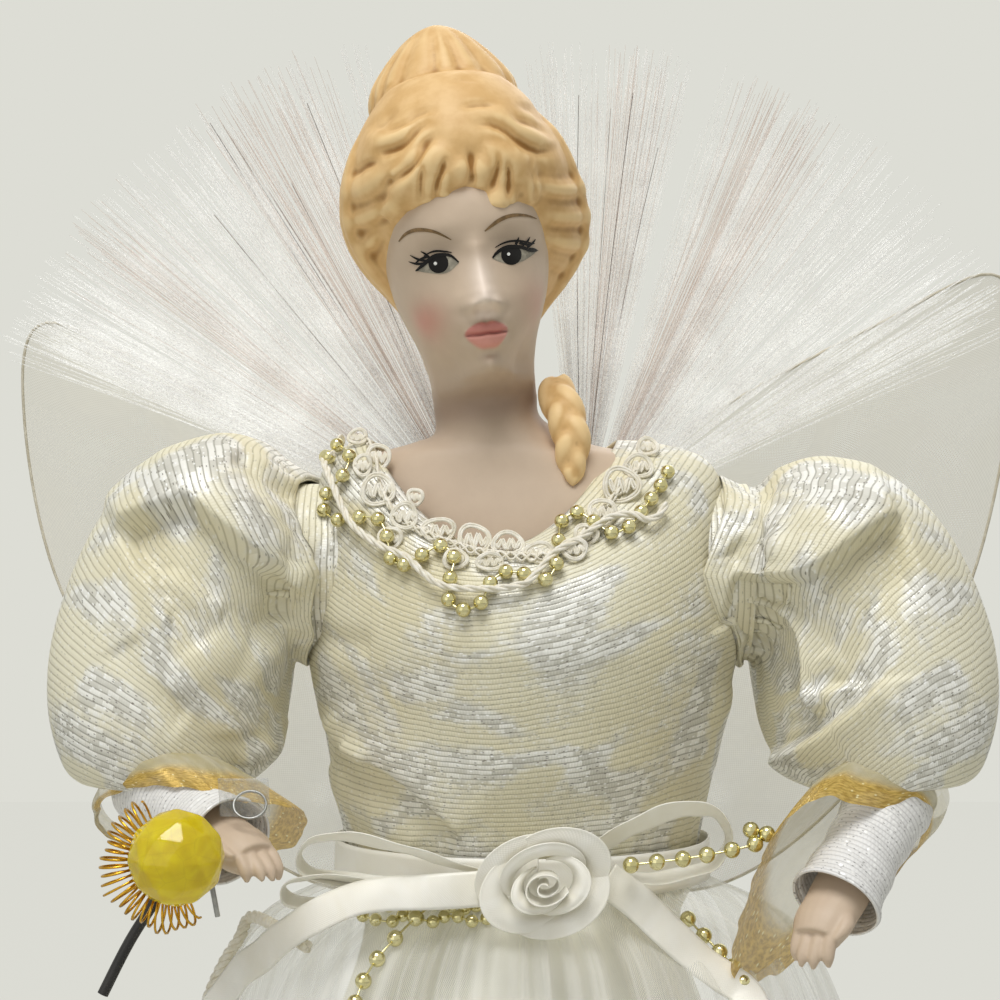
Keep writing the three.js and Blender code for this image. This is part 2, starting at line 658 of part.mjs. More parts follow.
// Point on the front of the bodice at a given place across and up, lifted off the cloth.
function bodicePoint(x, z, lift) {
  const at = (v) => {
    const i = Math.min(bodiceRings.length - 2, Math.floor(v));
    const t = v - i;
    const mix = (key) => (bodiceRings[i][key] ?? 0) * (1 - t) + (bodiceRings[i + 1][key] ?? 0) * t;
    const c = THREE.MathUtils.clamp((x - mix("shift")) / mix("x"), -1, 1);
    const s = -Math.sqrt(1 - c * c);
    return V(x, mix("front") * s, mix("z") - mix("drop") * s * s);
  };
  let [low, high] = [1, bodiceRings.length - 1];
  for (let i = 0; i < 40; i++) {
    const middle = (low + high) / 2;
    if (at(middle).z < z) low = middle;
    else high = middle;
  }
  const point = at(low);
  const out = V(point.x / 38, -1, 0.6 + (z - BUST_HEIGHT) / 40).normalize();
  return point.addScaledVector(out, lift);
}

// Collar: lace band round the neckline, a thick cord and a zigzag bead string on the front
const LACE_OVERLAP = 1.1; // beyond the neckline's slope
const LACE_INSET = 0.8; // short of the neckline's edge
const LACE = 0.6;
const laceLift = FIT + LACE;
const [slopeRing, openingRing] = bodiceRings.slice(-2);
const laceRings = (lift) => [
  { ...grow(slopeRing, LACE_OVERLAP), z: slopeRing.z + lift - 0.2 },
  { ...slopeRing, z: slopeRing.z + lift },
  { ...grow(openingRing, LACE_INSET), z: openingRing.z + lift },
];
const laceSides = (lift) => laceRings(lift).map((r) => oval(r, SIDES, 8, 0.15));
add(doll, "lace_collar", shell(laceSides(laceLift), laceSides(FIT)), LACE_FINISH);

const cordRoute = [
  [-34, 66.5], [-31, 58], [-23, 50.5], [-14, 45.2], [-6.5, 44.4], [1, 45.2], [7.5, 50], [16, 54.5], [24, 60],
];
const COLLAR_CORD_LIFT = FIT + CORD_RADIUS + 0.4;
const cordPoints = smooth(cordRoute.map(([x, z]) => bodicePoint(x, z, COLLAR_CORD_LIFT)), 26);
add(doll, "collar_cord", tube(cordPoints, CORD_RADIUS, 5), LACE_FINISH);
const beadRoute = [
  [-34, 70], [-28, 66.4], [-31.5, 58.6], [-26.5, 56], [-21.8, 49.6], [-15.5, 51.6], [-12.3, 43.4],
  [-6.8, 42.4], [-1.5, 47.4], [4.2, 47], [8.4, 54.6], [14, 55], [20, 54.2], [25.5, 62],
];
const COLLAR_BEAD_LIFT = COLLAR_CORD_LIFT + CORD_RADIUS + FIT + BEAD_RADIUS;
add(doll, "bead_collar", beadString(beadRoute.map(([x, z]) => bodicePoint(x, z, COLLAR_BEAD_LIFT))), GOLD);

// Ribbon at the waist: band, bow loops, tails and rosette
const bandRing = (z, out) => oval({ ...grow(bandInner, out), z }, SIDES);
const bandWall = (out) => [bandRing(-RIBBON_WIDTH / 2, out), bandRing(RIBBON_WIDTH / 2, out)];
add(doll, "waist_ribbon", shell(bandWall(RIBBON), bandWall(0)), SATIN);
const bowDepth = -(bandInner.front + RIBBON + FIT);
const LOOP_BULGE = 3;
const LOOP_ROOT = 0.9; // half the gap between a loop's two layers at the knot
const bowLoops = [
  { name: "bow_left_upper_loop", root: -2.5, tip: -36, low: 2.6, rise: 2.4 },
  { name: "bow_left_lower_loop", root: -2.5, tip: -33, low: -5.2, rise: -1.2 },
  { name: "bow_right_loop", root: 2.5, tip: 33, low: 2.6, rise: 4.2 },
];
for (const { name, root, tip, low, rise } of bowLoops) {
  const knotY = bowDepth - LOOP_ROOT - RIBBON - 0.5 * LOOP_BULGE;
  const middle = low + RIBBON_WIDTH / 2;
  const place = (share, y) => V(root + (tip - root) * share, knotY + y, middle + rise * share);
  const route = [
    place(0, -LOOP_ROOT),
    place(0.35, -LOOP_BULGE),
    place(0.75, -LOOP_BULGE),
    place(1, 0),
    place(0.75, 0.5 * LOOP_BULGE),
    place(0.35, 0.5 * LOOP_BULGE),
    place(0, LOOP_ROOT),
  ];
  const points = new THREE.CatmullRomCurve3(route, true).getSpacedPoints(20).slice(0, 20);
  add(doll, name, band(points, RIBBON_WIDTH, RIBBON), SATIN);
}
const KNOT_HALF_WIDTH = 1.9;
const knotDepth = 2 * LOOP_ROOT + 2 * RIBBON + 1.5 * LOOP_BULGE - FIT;
const knot = new THREE.BoxGeometry(2 * KNOT_HALF_WIDTH, knotDepth, 2 * RIBBON_WIDTH);
knot.translate(0, bowDepth - knotDepth / 2, RIBBON_WIDTH / 2);
add(doll, "bow_knot", knot, SATIN);
const TAIL_LIFT = 2 * (BEAD_RADIUS + FIT) + RIBBON;
// Routes on the skirt: across, and up from the waist
const leftTail = [[-8, -11], [-20, -13.5], [-33, -16.5], [-44, -21.5], [-52, -30], [-57, -42], [-60, -55]];
const rightTail = [[11, -10.2], [19, -13.6], [28, -19], [36, -26], [43, -36], [47, -47], [50, -60]];
for (const [name, route] of [["bow_left_tail", leftTail], ["bow_right_tail", rightTail]]) {
  const seats = route.map(([x, z]) => skirtPoint(x, WAIST + z, TAIL_LIFT));
  const points = smooth(seats.map((seat) => seat.point), 12);
  const faces = points.map((p) => skirtPoint(p.x, p.z, TAIL_LIFT).face);
  add(topper, name, strip(points, faces, RIBBON_WIDTH, RIBBON), SATIN);
}
const ROSETTE_WIDTH = 23;
const ROSETTE_HEIGHT = 20;
const ROSETTE_DEPTH = 8;
const ROSETTE_X = 4.4;
const ROSETTE_Z = 1.4;
const ROSETTE_SIDES = 20;
const rosetteSeat = bowDepth - 2 * LOOP_ROOT - 2 * RIBBON - 1.5 * LOOP_BULGE;
const rosetteProfile = [[0.55, 0], [0.95, 0.25], [1, 0.5], [0.8, 0.72], [0.62, 0.7], [0.5, 0.9], [0.22, 1]];
const rosetteRings = rosetteProfile.map(([r, depth], i) =>
  Array.from({ length: ROSETTE_SIDES }, (_, s) => {
    const angle = (2 * Math.PI * s) / ROSETTE_SIDES;
    const swell = r * (1 + 0.06 * Math.cos(5 * angle + i));
    return V(
      ROSETTE_X + (ROSETTE_WIDTH / 2) * swell * Math.cos(angle),
      rosetteSeat - ROSETTE_DEPTH * depth,
      ROSETTE_Z + (ROSETTE_HEIGHT / 2) * swell * Math.sin(angle),
    );
  }),
);
add(doll, "satin_rosette", loft(rosetteRings), SATIN);

// Bead strings and twisted cord at the waist
const BEAD_LIFT = BEAD_RADIUS + FIT;
const waistBeads = [
  ["bead_belt", [[-32, -8], [-25, -9.4], [-17, -9.6], [-10, -8.6]]],
  ["left_bead_swag", [[-5, -12], [-12, -15], [-19, -19.5], [-25, -26], [-29, -34]]],
  ["right_bead_swag", [[21.5, -6], [29, -10], [36, -16], [42, -23], [47, -30]]],
];
for (const [name, route] of waistBeads) {
  const seats = route.map(([x, z]) => skirtPoint(x, WAIST + z, BEAD_LIFT).point);
  add(topper, name, beadString(seats), GOLD);
}
const spraySeats = [[17, 0, 4], [23, 0.4, 4.4], [29, 0.8, 6], [35, 1.6, 8.6], [39, 2, 10.6]];
const sprayRoute = spraySeats.map(([x, y, z]) => V(x, rosetteSeat - BEAD_RADIUS + y, z));
add(doll, "bead_spray", beadString(sprayRoute), GOLD);
const TWIST_RADIUS = 1.3;
const twistRoute = [[-36, -10], [-44, -15.5], [-50, -22], [-57, -34], [-62, -45]];
const twistSeats = twistRoute.map(([x, z]) => skirtPoint(x, WAIST + z, TWIST_RADIUS + FIT).point);
const twistPoints = smooth(twistSeats, 12);
add(topper, "twisted_cord", tube(twistPoints, TWIST_RADIUS, 6), LACE_FINISH);

// Arms: puff sleeve, frill, cuff, hand and wire, all turning on a pin at the shoulder
const SLEEVE_ROUTE = [
  [0, 0, 0, 17], [6, 0, 0, 20], [13, -1, 1, 22.2], [20.5, -3, -4, 22.6], [25.5, -6, -13, 21.6],
  [28, -9.5, -22.5, 18.6], [27.6, -12.5, -30, 14], [26, -15.5, -35, 10],
]; // centre outwards, forwards and up from the shoulder, and radius
const SLEEVE_SIDES = 20;
const SLEEVE_PLEATS = 5;
const PLEAT_DEPTH = 0.03;
const SLEEVE_END = 3; // beyond the elbow
const FOREARM_START = 4; // of frill and cuff, beyond the elbow
const FRILL_LENGTH = 13;
const FRILL_ROOT = 9;
const FRILL_MIDDLE = 11.5;
const FRILL_RADIUS = 15;
const FRILL_WAVES = 7;
const CUFF_LENGTH = 23;
const CUFF_RADIUS = 7.2;
const WRIST_RADIUS = 5.8;
const HAND_LENGTH = 15;
const HAND_RADIUS = 4.6;
const EYE_WIDTH = 1.6;
const PIN_LENGTH = 14;
const PIN_SEAT = 4; // of its length in the torso
const PIN_HEAD = 1.2;
const PIN_ROOM = 1.5; // round the pin's head inside the sleeve
const arms = [
  { name: "left", side: -1, forearm: V(-0.6, -0.76, -0.24) },
  { name: "right", side: 1, forearm: V(-0.5, -0.62, -0.6) },
];
const hands = {};
for (const { name, side, forearm } of arms) {
  const arm = new THREE.Group();
  arm.position.set(side * ARM_INSET, 0, SHOULDER_HEIGHT);
  doll.add(arm);
  const outward = (x, y, z) => V(side * x, y, z);
  const centres = SLEEVE_ROUTE.map(([x, y, z]) => outward(x, y, z));
  const radii = SLEEVE_ROUTE.map((row) => row[3]);
  const elbow = centres[centres.length - 1];
  const along = outward(forearm.x, forearm.y, forearm.z).normalize();
  const reach = (distance) => elbow.clone().addScaledVector(along, distance);
  const line = (from, to) => [reach(from), reach((from + to) / 2), reach(to)];

  const handStart = FOREARM_START + CUFF_LENGTH + FIT;
  const eye = lathe(
    [
      [PIN_RADIUS + FIT, -EYE_WIDTH / 2],
      [PIN_RADIUS + FIT + EYE_WIDTH, -EYE_WIDTH / 2],
      [PIN_RADIUS + FIT + EYE_WIDTH, EYE_WIDTH / 2],
      [PIN_RADIUS + FIT, EYE_WIDTH / 2],
      [PIN_RADIUS + FIT, -EYE_WIDTH / 2],
    ],
    12,
  );
  eye.rotateY(Math.PI / 2).translate((side * PIN_LENGTH) / 2, 0, 0);
  const wireStart = outward(PIN_LENGTH / 2, 0, -(PIN_RADIUS + FIT + EYE_WIDTH / 2));
  const bends = [outward(14, -2, -8), outward(22, -6, -18), outward(27, -12, -30)];
  const armWire = smooth([wireStart, ...bends, elbow, reach(handStart - FIT)], 10);
  add(arm, `${name}_arm_wire`, join(eye, tube(armWire, ARM_WIRE_RADIUS, 4)), WIRE);

  const bore = tube(armWire, 1.3 * (ARM_WIRE_RADIUS + FIT), 4);
  const roomRadius = PIN_HEAD_RADIUS + PIN_ROOM;
  const roomLength = 2 * (PIN_LENGTH + 2 * PIN_ROOM);
  const pinRoom = new THREE.CylinderGeometry(roomRadius, roomRadius, roomLength, 10);
  pinRoom.rotateZ(Math.PI / 2);
  const puffSpine = [...centres, reach(SLEEVE_END)];
  const puffRadii = [...radii, radii.at(-1) - 1];
  const puff = loft(ringsAlong(puffSpine, puffRadii, SLEEVE_SIDES, SLEEVE_PLEATS, PLEAT_DEPTH));
  const roomStart = FOREARM_START - FIT;
  const roomSpine = line(roomStart, roomStart + FRILL_LENGTH + FRILL_ROOT);
  const roomRadii = [FRILL_RADIUS, FRILL_RADIUS + 1, FRILL_RADIUS + 2];
  const forearmRoom = loft(ringsAlong(roomSpine, roomRadii, 16));
  add(arm, `${name}_sleeve`, cut(puff, bore, pinRoom, forearmRoom), BROCADE);

  const pin = new THREE.CylinderGeometry(PIN_RADIUS, PIN_RADIUS, PIN_LENGTH, 12);
  const pinHead = new THREE.CylinderGeometry(PIN_HEAD_RADIUS, PIN_HEAD_RADIUS, PIN_HEAD, 12);
  pin.rotateZ(Math.PI / 2).translate(side * (PIN_LENGTH / 2 - PIN_SEAT), 0, 0);
  pinHead.rotateZ(Math.PI / 2).translate(side * (PIN_LENGTH - PIN_SEAT + PIN_HEAD / 3), 0, 0);
  add(arm, `${name}_shoulder_pin`, join(pin, pinHead), ALUMINIUM);

  const frillRows = [[FRILL_ROOT, 0], [FRILL_MIDDLE, 0.06], [FRILL_RADIUS, 0.1]];
  const frillSpine = line(FOREARM_START, FOREARM_START + FRILL_LENGTH);
  const frillWall = (inset) =>
    frillRows.map(([r, depth], i) => {
      const even = frillSpine.map(() => r - inset);
      return ringsAlong(frillSpine, even, 4 * FRILL_WAVES, FRILL_WAVES, depth)[i];
    });
  add(arm, `${name}_frill`, shell(frillWall(0), frillWall(ORGANZA)), GOLD_CLOTH);

  const cuffRadii = [CUFF_RADIUS, (CUFF_RADIUS + WRIST_RADIUS) / 2, WRIST_RADIUS];
  const cuffSpine = line(FOREARM_START, FOREARM_START + CUFF_LENGTH);
  const cuff = loft(ringsAlong(cuffSpine, cuffRadii, 14));
  add(arm, `${name}_cuff`, cut(cuff, bore), SILVER_CLOTH);

  const handRows = [[0, 0.8], [0.18, 0.85], [0.4, 1.1], [0.65, 1], [0.85, 0.75], [1, 0.35]];
  const handSpine = handRows.map(([s]) => reach(handStart + s * HAND_LENGTH));
  const palm = loft(ringsAlong(handSpine, handRows.map(([, r]) => r * HAND_RADIUS), 10));
  const thumbRows = [[0.3, -2.4, 0, 3], [0.55, -3.4, -1, 3.6], [0.8, -2.4, -1.6, 3]];
  const palmPlace = (s) => reach(handStart + s * HAND_LENGTH);
  const thumbSpine = thumbRows.map(([s, x, y, z]) => palmPlace(s).add(outward(x, y, z)));
  const thumb = loft(ringsAlong(thumbSpine, [1.6, 1.7, 0.9], 8));
  add(arm, `${name}_hand`, join(palm, thumb), PORCELAIN);
  hands[name] = { arm, middle: reach(handStart + HAND_LENGTH / 2) };
}

// Flower tied to the left hand: faceted bead, ring of spring wire, stem, tie wire and clear tag
const { arm: leftArm, middle: fist } = hands.left;
const flowerCentre = V(-13.4, -57, -41.5);
const crystal = new THREE.IcosahedronGeometry(CRYSTAL_RADIUS, 1).translate(...flowerCentre);
crystal.deleteAttribute("normal").deleteAttribute("uv");
add(leftArm, "flower_bead", mergeVertices(crystal, 1e-4), CRYSTAL);
const coilRadius = CRYSTAL_RADIUS + FIT + CURL_WIRE + CURL_RADIUS;
const COIL_START = 100; // degrees round the bead's rim
const COIL_SWEEP = 300; // degrees of the rim that the spring wire goes round
const CURL_STEPS = 8;
const coilSteps = CURLS * CURL_STEPS;
const coilPoint = (t) => {
  const bearing = rad(COIL_START + COIL_SWEEP * t);
  const curl = 2 * Math.PI * CURLS * t;
  const out = coilRadius + CURL_RADIUS * Math.cos(curl);
  const place = V(out * Math.cos(bearing), CURL_RADIUS * Math.sin(curl), out * Math.sin(bearing));
  return place.add(flowerCentre);
};
const coilPoints = Array.from({ length: coilSteps + 1 }, (_, i) => coilPoint(i / coilSteps));
add(leftArm, "flower_spring", tube(coilPoints, CURL_WIRE, 5), GOLD);
let coilGap = Infinity;
coilPoints.forEach((p, i) => {
  const neighbours = coilPoints.slice(i + CURL_STEPS / 2, i + 2 * CURL_STEPS + 1);
  neighbours.forEach((q) => {
    coilGap = Math.min(coilGap, p.distanceTo(q) - 2 * CURL_WIRE);
  });
});
console.log(`flower spring: least gap between curls ${coilGap.toFixed(2)} mm`);
const STEM_RADIUS = 0.9;
const stemTop = flowerCentre.clone().add(V(0, CRYSTAL_RADIUS + FIT + STEM_RADIUS, 0));
const stemBends = [V(0, 0, 0), V(-4, 1, -7), V(-9, 1, -15), V(-13, 0, -23)];
const stemRoute = smooth(stemBends.map((bend) => bend.add(stemTop)), 6);
add(leftArm, "flower_stem", tube(stemRoute, STEM_RADIUS, 6), BLACK_PLASTIC);
const TIE_RADIUS = 0.45;
const toStem = stemTop.clone().sub(fist).normalize();
const tieStart = stemTop.clone().addScaledVector(toStem, -(STEM_RADIUS + TIE_RADIUS + FIT));
const tieGrip = fist.clone().addScaledVector(toStem, 1.1 * HAND_RADIUS + TIE_RADIUS + FIT);
const tieDrop = tieGrip.clone().add(V(0, -1.5, -4));
const tieRoute = smooth([tieStart, tieGrip, tieDrop, tieDrop.clone().add(V(0.6, 0, -6.5))], 6);
add(leftArm, "tie_wire", tube(tieRoute, TIE_RADIUS, 5), WIRE);
const TAG = [8, 0.7, 6.5];
const tag = new THREE.BoxGeometry(...TAG);
tag.rotateX(rad(-20)).translate(fist.x, fist.y, fist.z + HAND_RADIUS + TAG[2] / 2 + 1);
add(leftArm, "clear_tag", tag, CLEAR);

// Wings: a clamp on the back, two fans of fibre, two sheer panels and their edge wires
const CLAMP_DEPTH = 9;
const CLAMP_FRONT = 26.5;
const FAN_ROOT = 13;
const FAN_BACKING = 2;
const FAN_LAYERS = 4;
const FAN_COLUMNS = 22;
const clampFoot = trunkRoute[trunkRoute.length - 1].z + FIT;
const fans = [
  { name: "left_fibre_fan", apex: [-6, 55], from: -68, to: -14, length: 92 },
  { name: "right_fibre_fan", apex: [12, 58], from: -6, to: 66, length: 84 },
];
const arcPoint = ([x, z], angle, radius) => [x + radius * Math.sin(angle), z + radius * Math.cos(angle)];
const fanOutline = (apex, from, to, inner, outer) => {
  const steps = 10;
  const angles = Array.from({ length: steps + 1 }, (_, i) => rad(from + ((to - from) * i) / steps));
  const near = angles.map((a) => arcPoint(apex, a, inner));
  const far = [...angles].reverse().map((a) => arcPoint(apex, a, outer));
  return new THREE.Shape([...near, ...far].map(([x, z]) => new THREE.Vector2(x, z)));
};
// Plate cut from an outline across and up, standing in the plane of the wings.
function standingPlate(outline, y, depth) {
  const geometry = new THREE.ExtrudeGeometry(outline, { depth, bevelEnabled: false, curveSegments: 8 });
  geometry.deleteAttribute("normal").deleteAttribute("uv");
  const placed = geometry.rotateX(Math.PI / 2).translate(0, y + depth, 0);
  return mergeVertices(placed, 1e-4);
}
for (const { name, apex, from, to, length } of fans) {
  const strandPoints = [];
  const strandIndex = [];
  for (let layer = 0; layer < FAN_LAYERS; layer++) {
    for (let column = 0; column < FAN_COLUMNS; column++) {
      const share = (column + 0.3 + (0.4 * layer) / FAN_LAYERS) / FAN_COLUMNS;
      const angle = rad(from + (to - from) * share);
      const reach = length * (0.86 + 0.14 * Math.sin(2.7 * column + 1.9 * layer));
      const rootY = CLAMP_FRONT + 1 + ((CLAMP_DEPTH - 2) * (layer + 0.5)) / FAN_LAYERS;
      const lean = 0.02 + 0.03 * layer;
      const ends = [[FAN_ROOT - FAN_BACKING / 2, 1], [FAN_ROOT + reach, 0.7]];
      const first = strandPoints.length;
      for (const [radius, thin] of ends) {
        const [x, z] = arcPoint(apex, angle, radius);
        for (let corner = 0; corner < 3; corner++) {
          const turn = (2 * Math.PI * corner) / 3;
          const r = FIBRE_RADIUS * thin;
          const side = r * Math.cos(turn);
          const y = rootY + lean * (radius - FAN_ROOT) + r * Math.sin(turn);
          strandPoints.push(V(x + side * Math.cos(angle), y, z - side * Math.sin(angle)));
        }
      }
      for (let corner = 0; corner < 3; corner++) {
        const [a, b] = [first + corner, first + ((corner + 1) % 3)];
        strandIndex.push(a, b, b + 3, a, b + 3, a + 3);
      }
      strandIndex.push(first + 2, first + 1, first, first + 3, first + 4, first + 5);
    }
  }
  const outline = fanOutline(apex, from - 3, to + 3, FAN_ROOT - FAN_BACKING, FAN_ROOT);
  const backing = standingPlate(outline, CLAMP_FRONT, CLAMP_DEPTH);
  add(doll, name, join(backing, fromTriangles(strandPoints, strandIndex)), FIBRE);
}
const clampReach = FAN_ROOT - FAN_BACKING - FIT;
const clampOutline = new THREE.Shape();
const [leftFan, rightFan] = fans;
const clampCorner = ([x, z]) => clampOutline.lineTo(x, z);
clampOutline.moveTo(-7, clampFoot);
clampCorner([13, clampFoot]);
const clampArc = (fan, steps) => {
  for (let i = 0; i <= steps; i++) {
    const angle = rad(fan.to + ((fan.from - fan.to) * i) / steps);
    clampCorner(arcPoint(fan.apex, angle, clampReach));
  }
};
clampArc(rightFan, 8);
clampArc(leftFan, 8);
add(doll, "wing_clamp", standingPlate(clampOutline, CLAMP_FRONT, CLAMP_DEPTH), WHITE_PLASTIC);
const WING_WIRE = 0.7;
const PANEL_Y = CLAMP_FRONT + CLAMP_DEPTH + FIT + WING_WIRE;
const PANEL_RIM = [
  [12, 58], [40, 76], [72, 93], [98, 104], [102, 84], [94, 48],
  [76, 16], [52, -8], [30, -14], [18, 0], [12, 24], [10, 47],
];
const PANEL_INNER = 12; // the panels sweep back from here
const WING_SWEEP = 0.16;
for (const side of [-1, 1]) {
  const name = side < 0 ? "left" : "right";
  const wave = (x, z) => {
    const out = Math.max(0, Math.abs(x) - PANEL_INNER);
    return PANEL_Y + WING_SWEEP * out + Math.min(1.2, 0.06 * out) * Math.sin(x / 9 + z / 14);
  };
  const rim = smooth(PANEL_RIM.map(([x, z]) => V(side * x, 0, z)), 18);
  const hub = V(side * 8, 0, 50);
  const shares = [0.12, 0.45, 0.75, 1];
  const grid = rim.map((p) => shares.map((t) => {
    const q = hub.clone().lerp(p, t);
    return q.setY(wave(q.x, q.z));
  }));
  add(doll, `${name}_wing_panel`, sheet(grid, ORGANZA), SHEER);
  const edge = rim.map((p, i) => {
    const run = heading(rim, i);
    const out = V(-run.z, 0, run.x).multiplyScalar(side);
    return p.clone().setY(wave(p.x, p.z)).addScaledVector(out, WING_WIRE + ORGANZA + FIT);
  });
  add(doll, `${name}_wing_wire`, tube(edge, WING_WIRE, 4), WIRE);
}

export default topper;
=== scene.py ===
# Looks of the angel tree topper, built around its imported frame. Metres, +Z up, front towards -Y.
import math
import random

import bmesh
import bpy
from mathutils import Matrix, Vector
from mathutils.bvhtree import BVHTree


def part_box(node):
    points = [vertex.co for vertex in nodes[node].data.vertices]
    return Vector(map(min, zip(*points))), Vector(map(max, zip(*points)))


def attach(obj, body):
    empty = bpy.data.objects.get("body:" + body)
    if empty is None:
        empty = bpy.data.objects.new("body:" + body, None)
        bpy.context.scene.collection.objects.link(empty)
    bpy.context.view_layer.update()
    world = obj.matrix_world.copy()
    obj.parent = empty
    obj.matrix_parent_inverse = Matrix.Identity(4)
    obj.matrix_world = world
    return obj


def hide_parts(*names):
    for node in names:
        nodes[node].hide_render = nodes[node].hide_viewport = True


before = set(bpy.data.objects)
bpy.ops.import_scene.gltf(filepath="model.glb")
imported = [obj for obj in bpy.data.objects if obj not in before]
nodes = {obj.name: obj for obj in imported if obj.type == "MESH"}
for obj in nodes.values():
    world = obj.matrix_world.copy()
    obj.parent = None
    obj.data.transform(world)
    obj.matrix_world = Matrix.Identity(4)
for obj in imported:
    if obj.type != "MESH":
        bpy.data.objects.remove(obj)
scene = bpy.context.scene
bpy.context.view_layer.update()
random.seed(7)
MM = 0.001

# Camera, at the photograph's place: level, in front of the chest
IMAGE = 1000
PIXEL = 0.18 * MM  # one pixel at the doll's axis
VIEW_DISTANCE = 0.36
VIEW_X = -3.96 * MM
VIEW_Z = 280.7 * MM
SENSOR = 36
camera_data = bpy.data.cameras.new("camera")
camera_data.sensor_width = SENSOR
camera_data.lens = SENSOR * VIEW_DISTANCE / (IMAGE * PIXEL)
camera_data.clip_start = 0.01
camera = bpy.data.objects.new("camera", camera_data)
camera.location = (VIEW_X, -VIEW_DISTANCE, VIEW_Z)
camera.rotation_euler = (math.pi / 2, 0, 0)
scene.collection.objects.link(camera)
scene.camera = camera


def seen(px, py, depth=0.0):
    """Point at a depth (its Y) that the camera sees at a pixel of the photograph."""
    step = PIXEL * (VIEW_DISTANCE + depth) / VIEW_DISTANCE
    return Vector((VIEW_X + (px - IMAGE / 2) * step, depth, VIEW_Z - (py - IMAGE / 2) * step))


def surface_tree(obj):
    """Search tree of a piece's surface, modifiers included."""
    return BVHTree.FromObject(obj, bpy.context.evaluated_depsgraph_get())


def hit(tree, px, py):
    """Where a pixel's ray meets a surface and the way that it faces there, or None."""
    eye = Vector((VIEW_X, -VIEW_DISTANCE, VIEW_Z))
    ray = (seen(px, py) - eye).normalized()
    place, normal, *_ = tree.ray_cast(eye, ray)
    if place is None:
        return None
    return place, (-normal if normal.dot(ray) > 0 else normal)


def cast(tree, px, py, depth=0.0):
    """Where a pixel's ray meets a surface, or the surface's nearest place, and the normal there."""
    found = hit(tree, px, py)
    if found:
        return found
    place, normal, *_ = tree.find_nearest(seen(px, py, depth))
    return place, (-normal if normal.y > 0 else normal)


# Mesh tools
def mm(x, y, z):
    return Vector((x, y, z)) * MM


def along(points, t):
    """Value or point at t, 0 to 1, on a smooth curve through a row of them."""
    place = min(max(t, 0.0), 1.0) * (len(points) - 1)
    i = min(int(place), len(points) - 2)
    f = place - i
    a, b, c, d = (points[min(max(i + k, 0), len(points) - 1)] for k in (-1, 0, 1, 2))
    square = f * f
    cube = square * f
    return 0.5 * (2 * b + (c - a) * f + (2 * a - 5 * b + 4 * c - d) * square + (3 * b - a - 3 * c + d) * cube)


def ease(low, high, x):
    t = min(max((x - low) / (high - low), 0.0), 1.0)
    return t * t * (3 - 2 * t)


def bell(x, width):
    return math.exp(-((x / width) ** 2))


def spaced(points, count):
    """Points at an even spacing along a smooth curve through a few of them."""
    fine = [along(points, i / (8 * count)) for i in range(8 * count + 1)]
    runs = [0.0]
    for a, b in zip(fine, fine[1:]):
        runs.append(runs[-1] + (b - a).length)
    result = []
    at = 0
    for k in range(count + 1):
        goal = runs[-1] * k / count
        while at < len(fine) - 2 and runs[at + 1] < goal:
            at += 1
        share = (goal - runs[at]) / max(runs[at + 1] - runs[at], 1e-12)
        result.append(fine[at].lerp(fine[at + 1], share))
    return result


def bent_grid(columns, rows, place, flat=(1.0, 1.0), closed=False):
    """Grid bent into a form: place(u, v) is the point at u across and v along, both 0 to 1."""
    bm = bmesh.new()
    layer = bm.loops.layers.uv.new("UVMap")
    bmesh.ops.create_grid(bm, x_segments=columns, y_segments=rows, size=0.5, calc_uvs=True)
    for face in bm.faces:
        for loop in face.loops:
            u, v = loop[layer].uv
            loop[layer].uv = (u * flat[0], v * flat[1])
    for vert in bm.verts:
        vert.co = place(vert.co.x + 0.5, vert.co.y + 0.5)
    if closed:
        bmesh.ops.remove_doubles(bm, verts=bm.verts, dist=1e-7)
        bmesh.ops.recalc_face_normals(bm, faces=bm.faces)
    return bm


def close_ends(bm, sides=0):
    """Fills a form's open ends and turns its faces outwards."""
    bmesh.ops.holes_fill(bm, edges=bm.edges, sides=sides)
    bmesh.ops.recalc_face_normals(bm, faces=bm.faces)


def rub_smooth(bm, rounds):
    """Smooths a form all over, once for each round."""
    for _ in range(rounds):
        bmesh.ops.smooth_vert(
            bm, verts=bm.verts, factor=0.5, use_axis_x=True, use_axis_y=True, use_axis_z=True
        )


def cross_frame(points, t, up):
    """Two directions across a smooth curve at t, the first as near to up as it can be."""
    step = 0.01
    run = (along(points, min(1, t + step)) - along(points, max(0, t - step))).normalized()
    first = up - run * up.dot(run)
    if first.length < 1e-6:
        first = run.orthogonal()
    first.normalize()
    return first, run.cross(first)


def tube(points, radii, sides, rows, up=Vector((0, -1, 0)), flatten=1.0):
    """Closed tube along a smooth curve; radii is a row of values along it."""

    def place(u, v):
        first, second = cross_frame(points, v, up)
        angle = 2 * math.pi * u
        r = along(radii, v)
        return along(points, v) + first * (r * flatten * math.cos(angle)) + second * (r * math.sin(angle))

    bm = bent_grid(sides, rows, place, closed=True)
    close_ends(bm, sides)
    return bm


def put(name, bm, material, body="doll", smooth=True):
    """Finished piece from a bmesh, on the body that it moves with."""
    mesh = bpy.data.meshes.new(name)
    bm.to_mesh(mesh)
    bm.free()
    mesh.polygons.foreach_set("use_smooth", [smooth] * len(mesh.polygons))
    mesh.materials.append(material)
    obj = bpy.data.objects.new(name, mesh)
    scene.collection.objects.link(obj)
    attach(obj, body)
    return obj


def gather(pieces):
    """One bmesh that holds several."""
    whole = bmesh.new()
    for bm in pieces:
        mesh = bpy.data.meshes.new("part")
        bm.to_mesh(mesh)
        bm.free()
        whole.from_mesh(mesh)
        bpy.data.meshes.remove(mesh)
    return whole


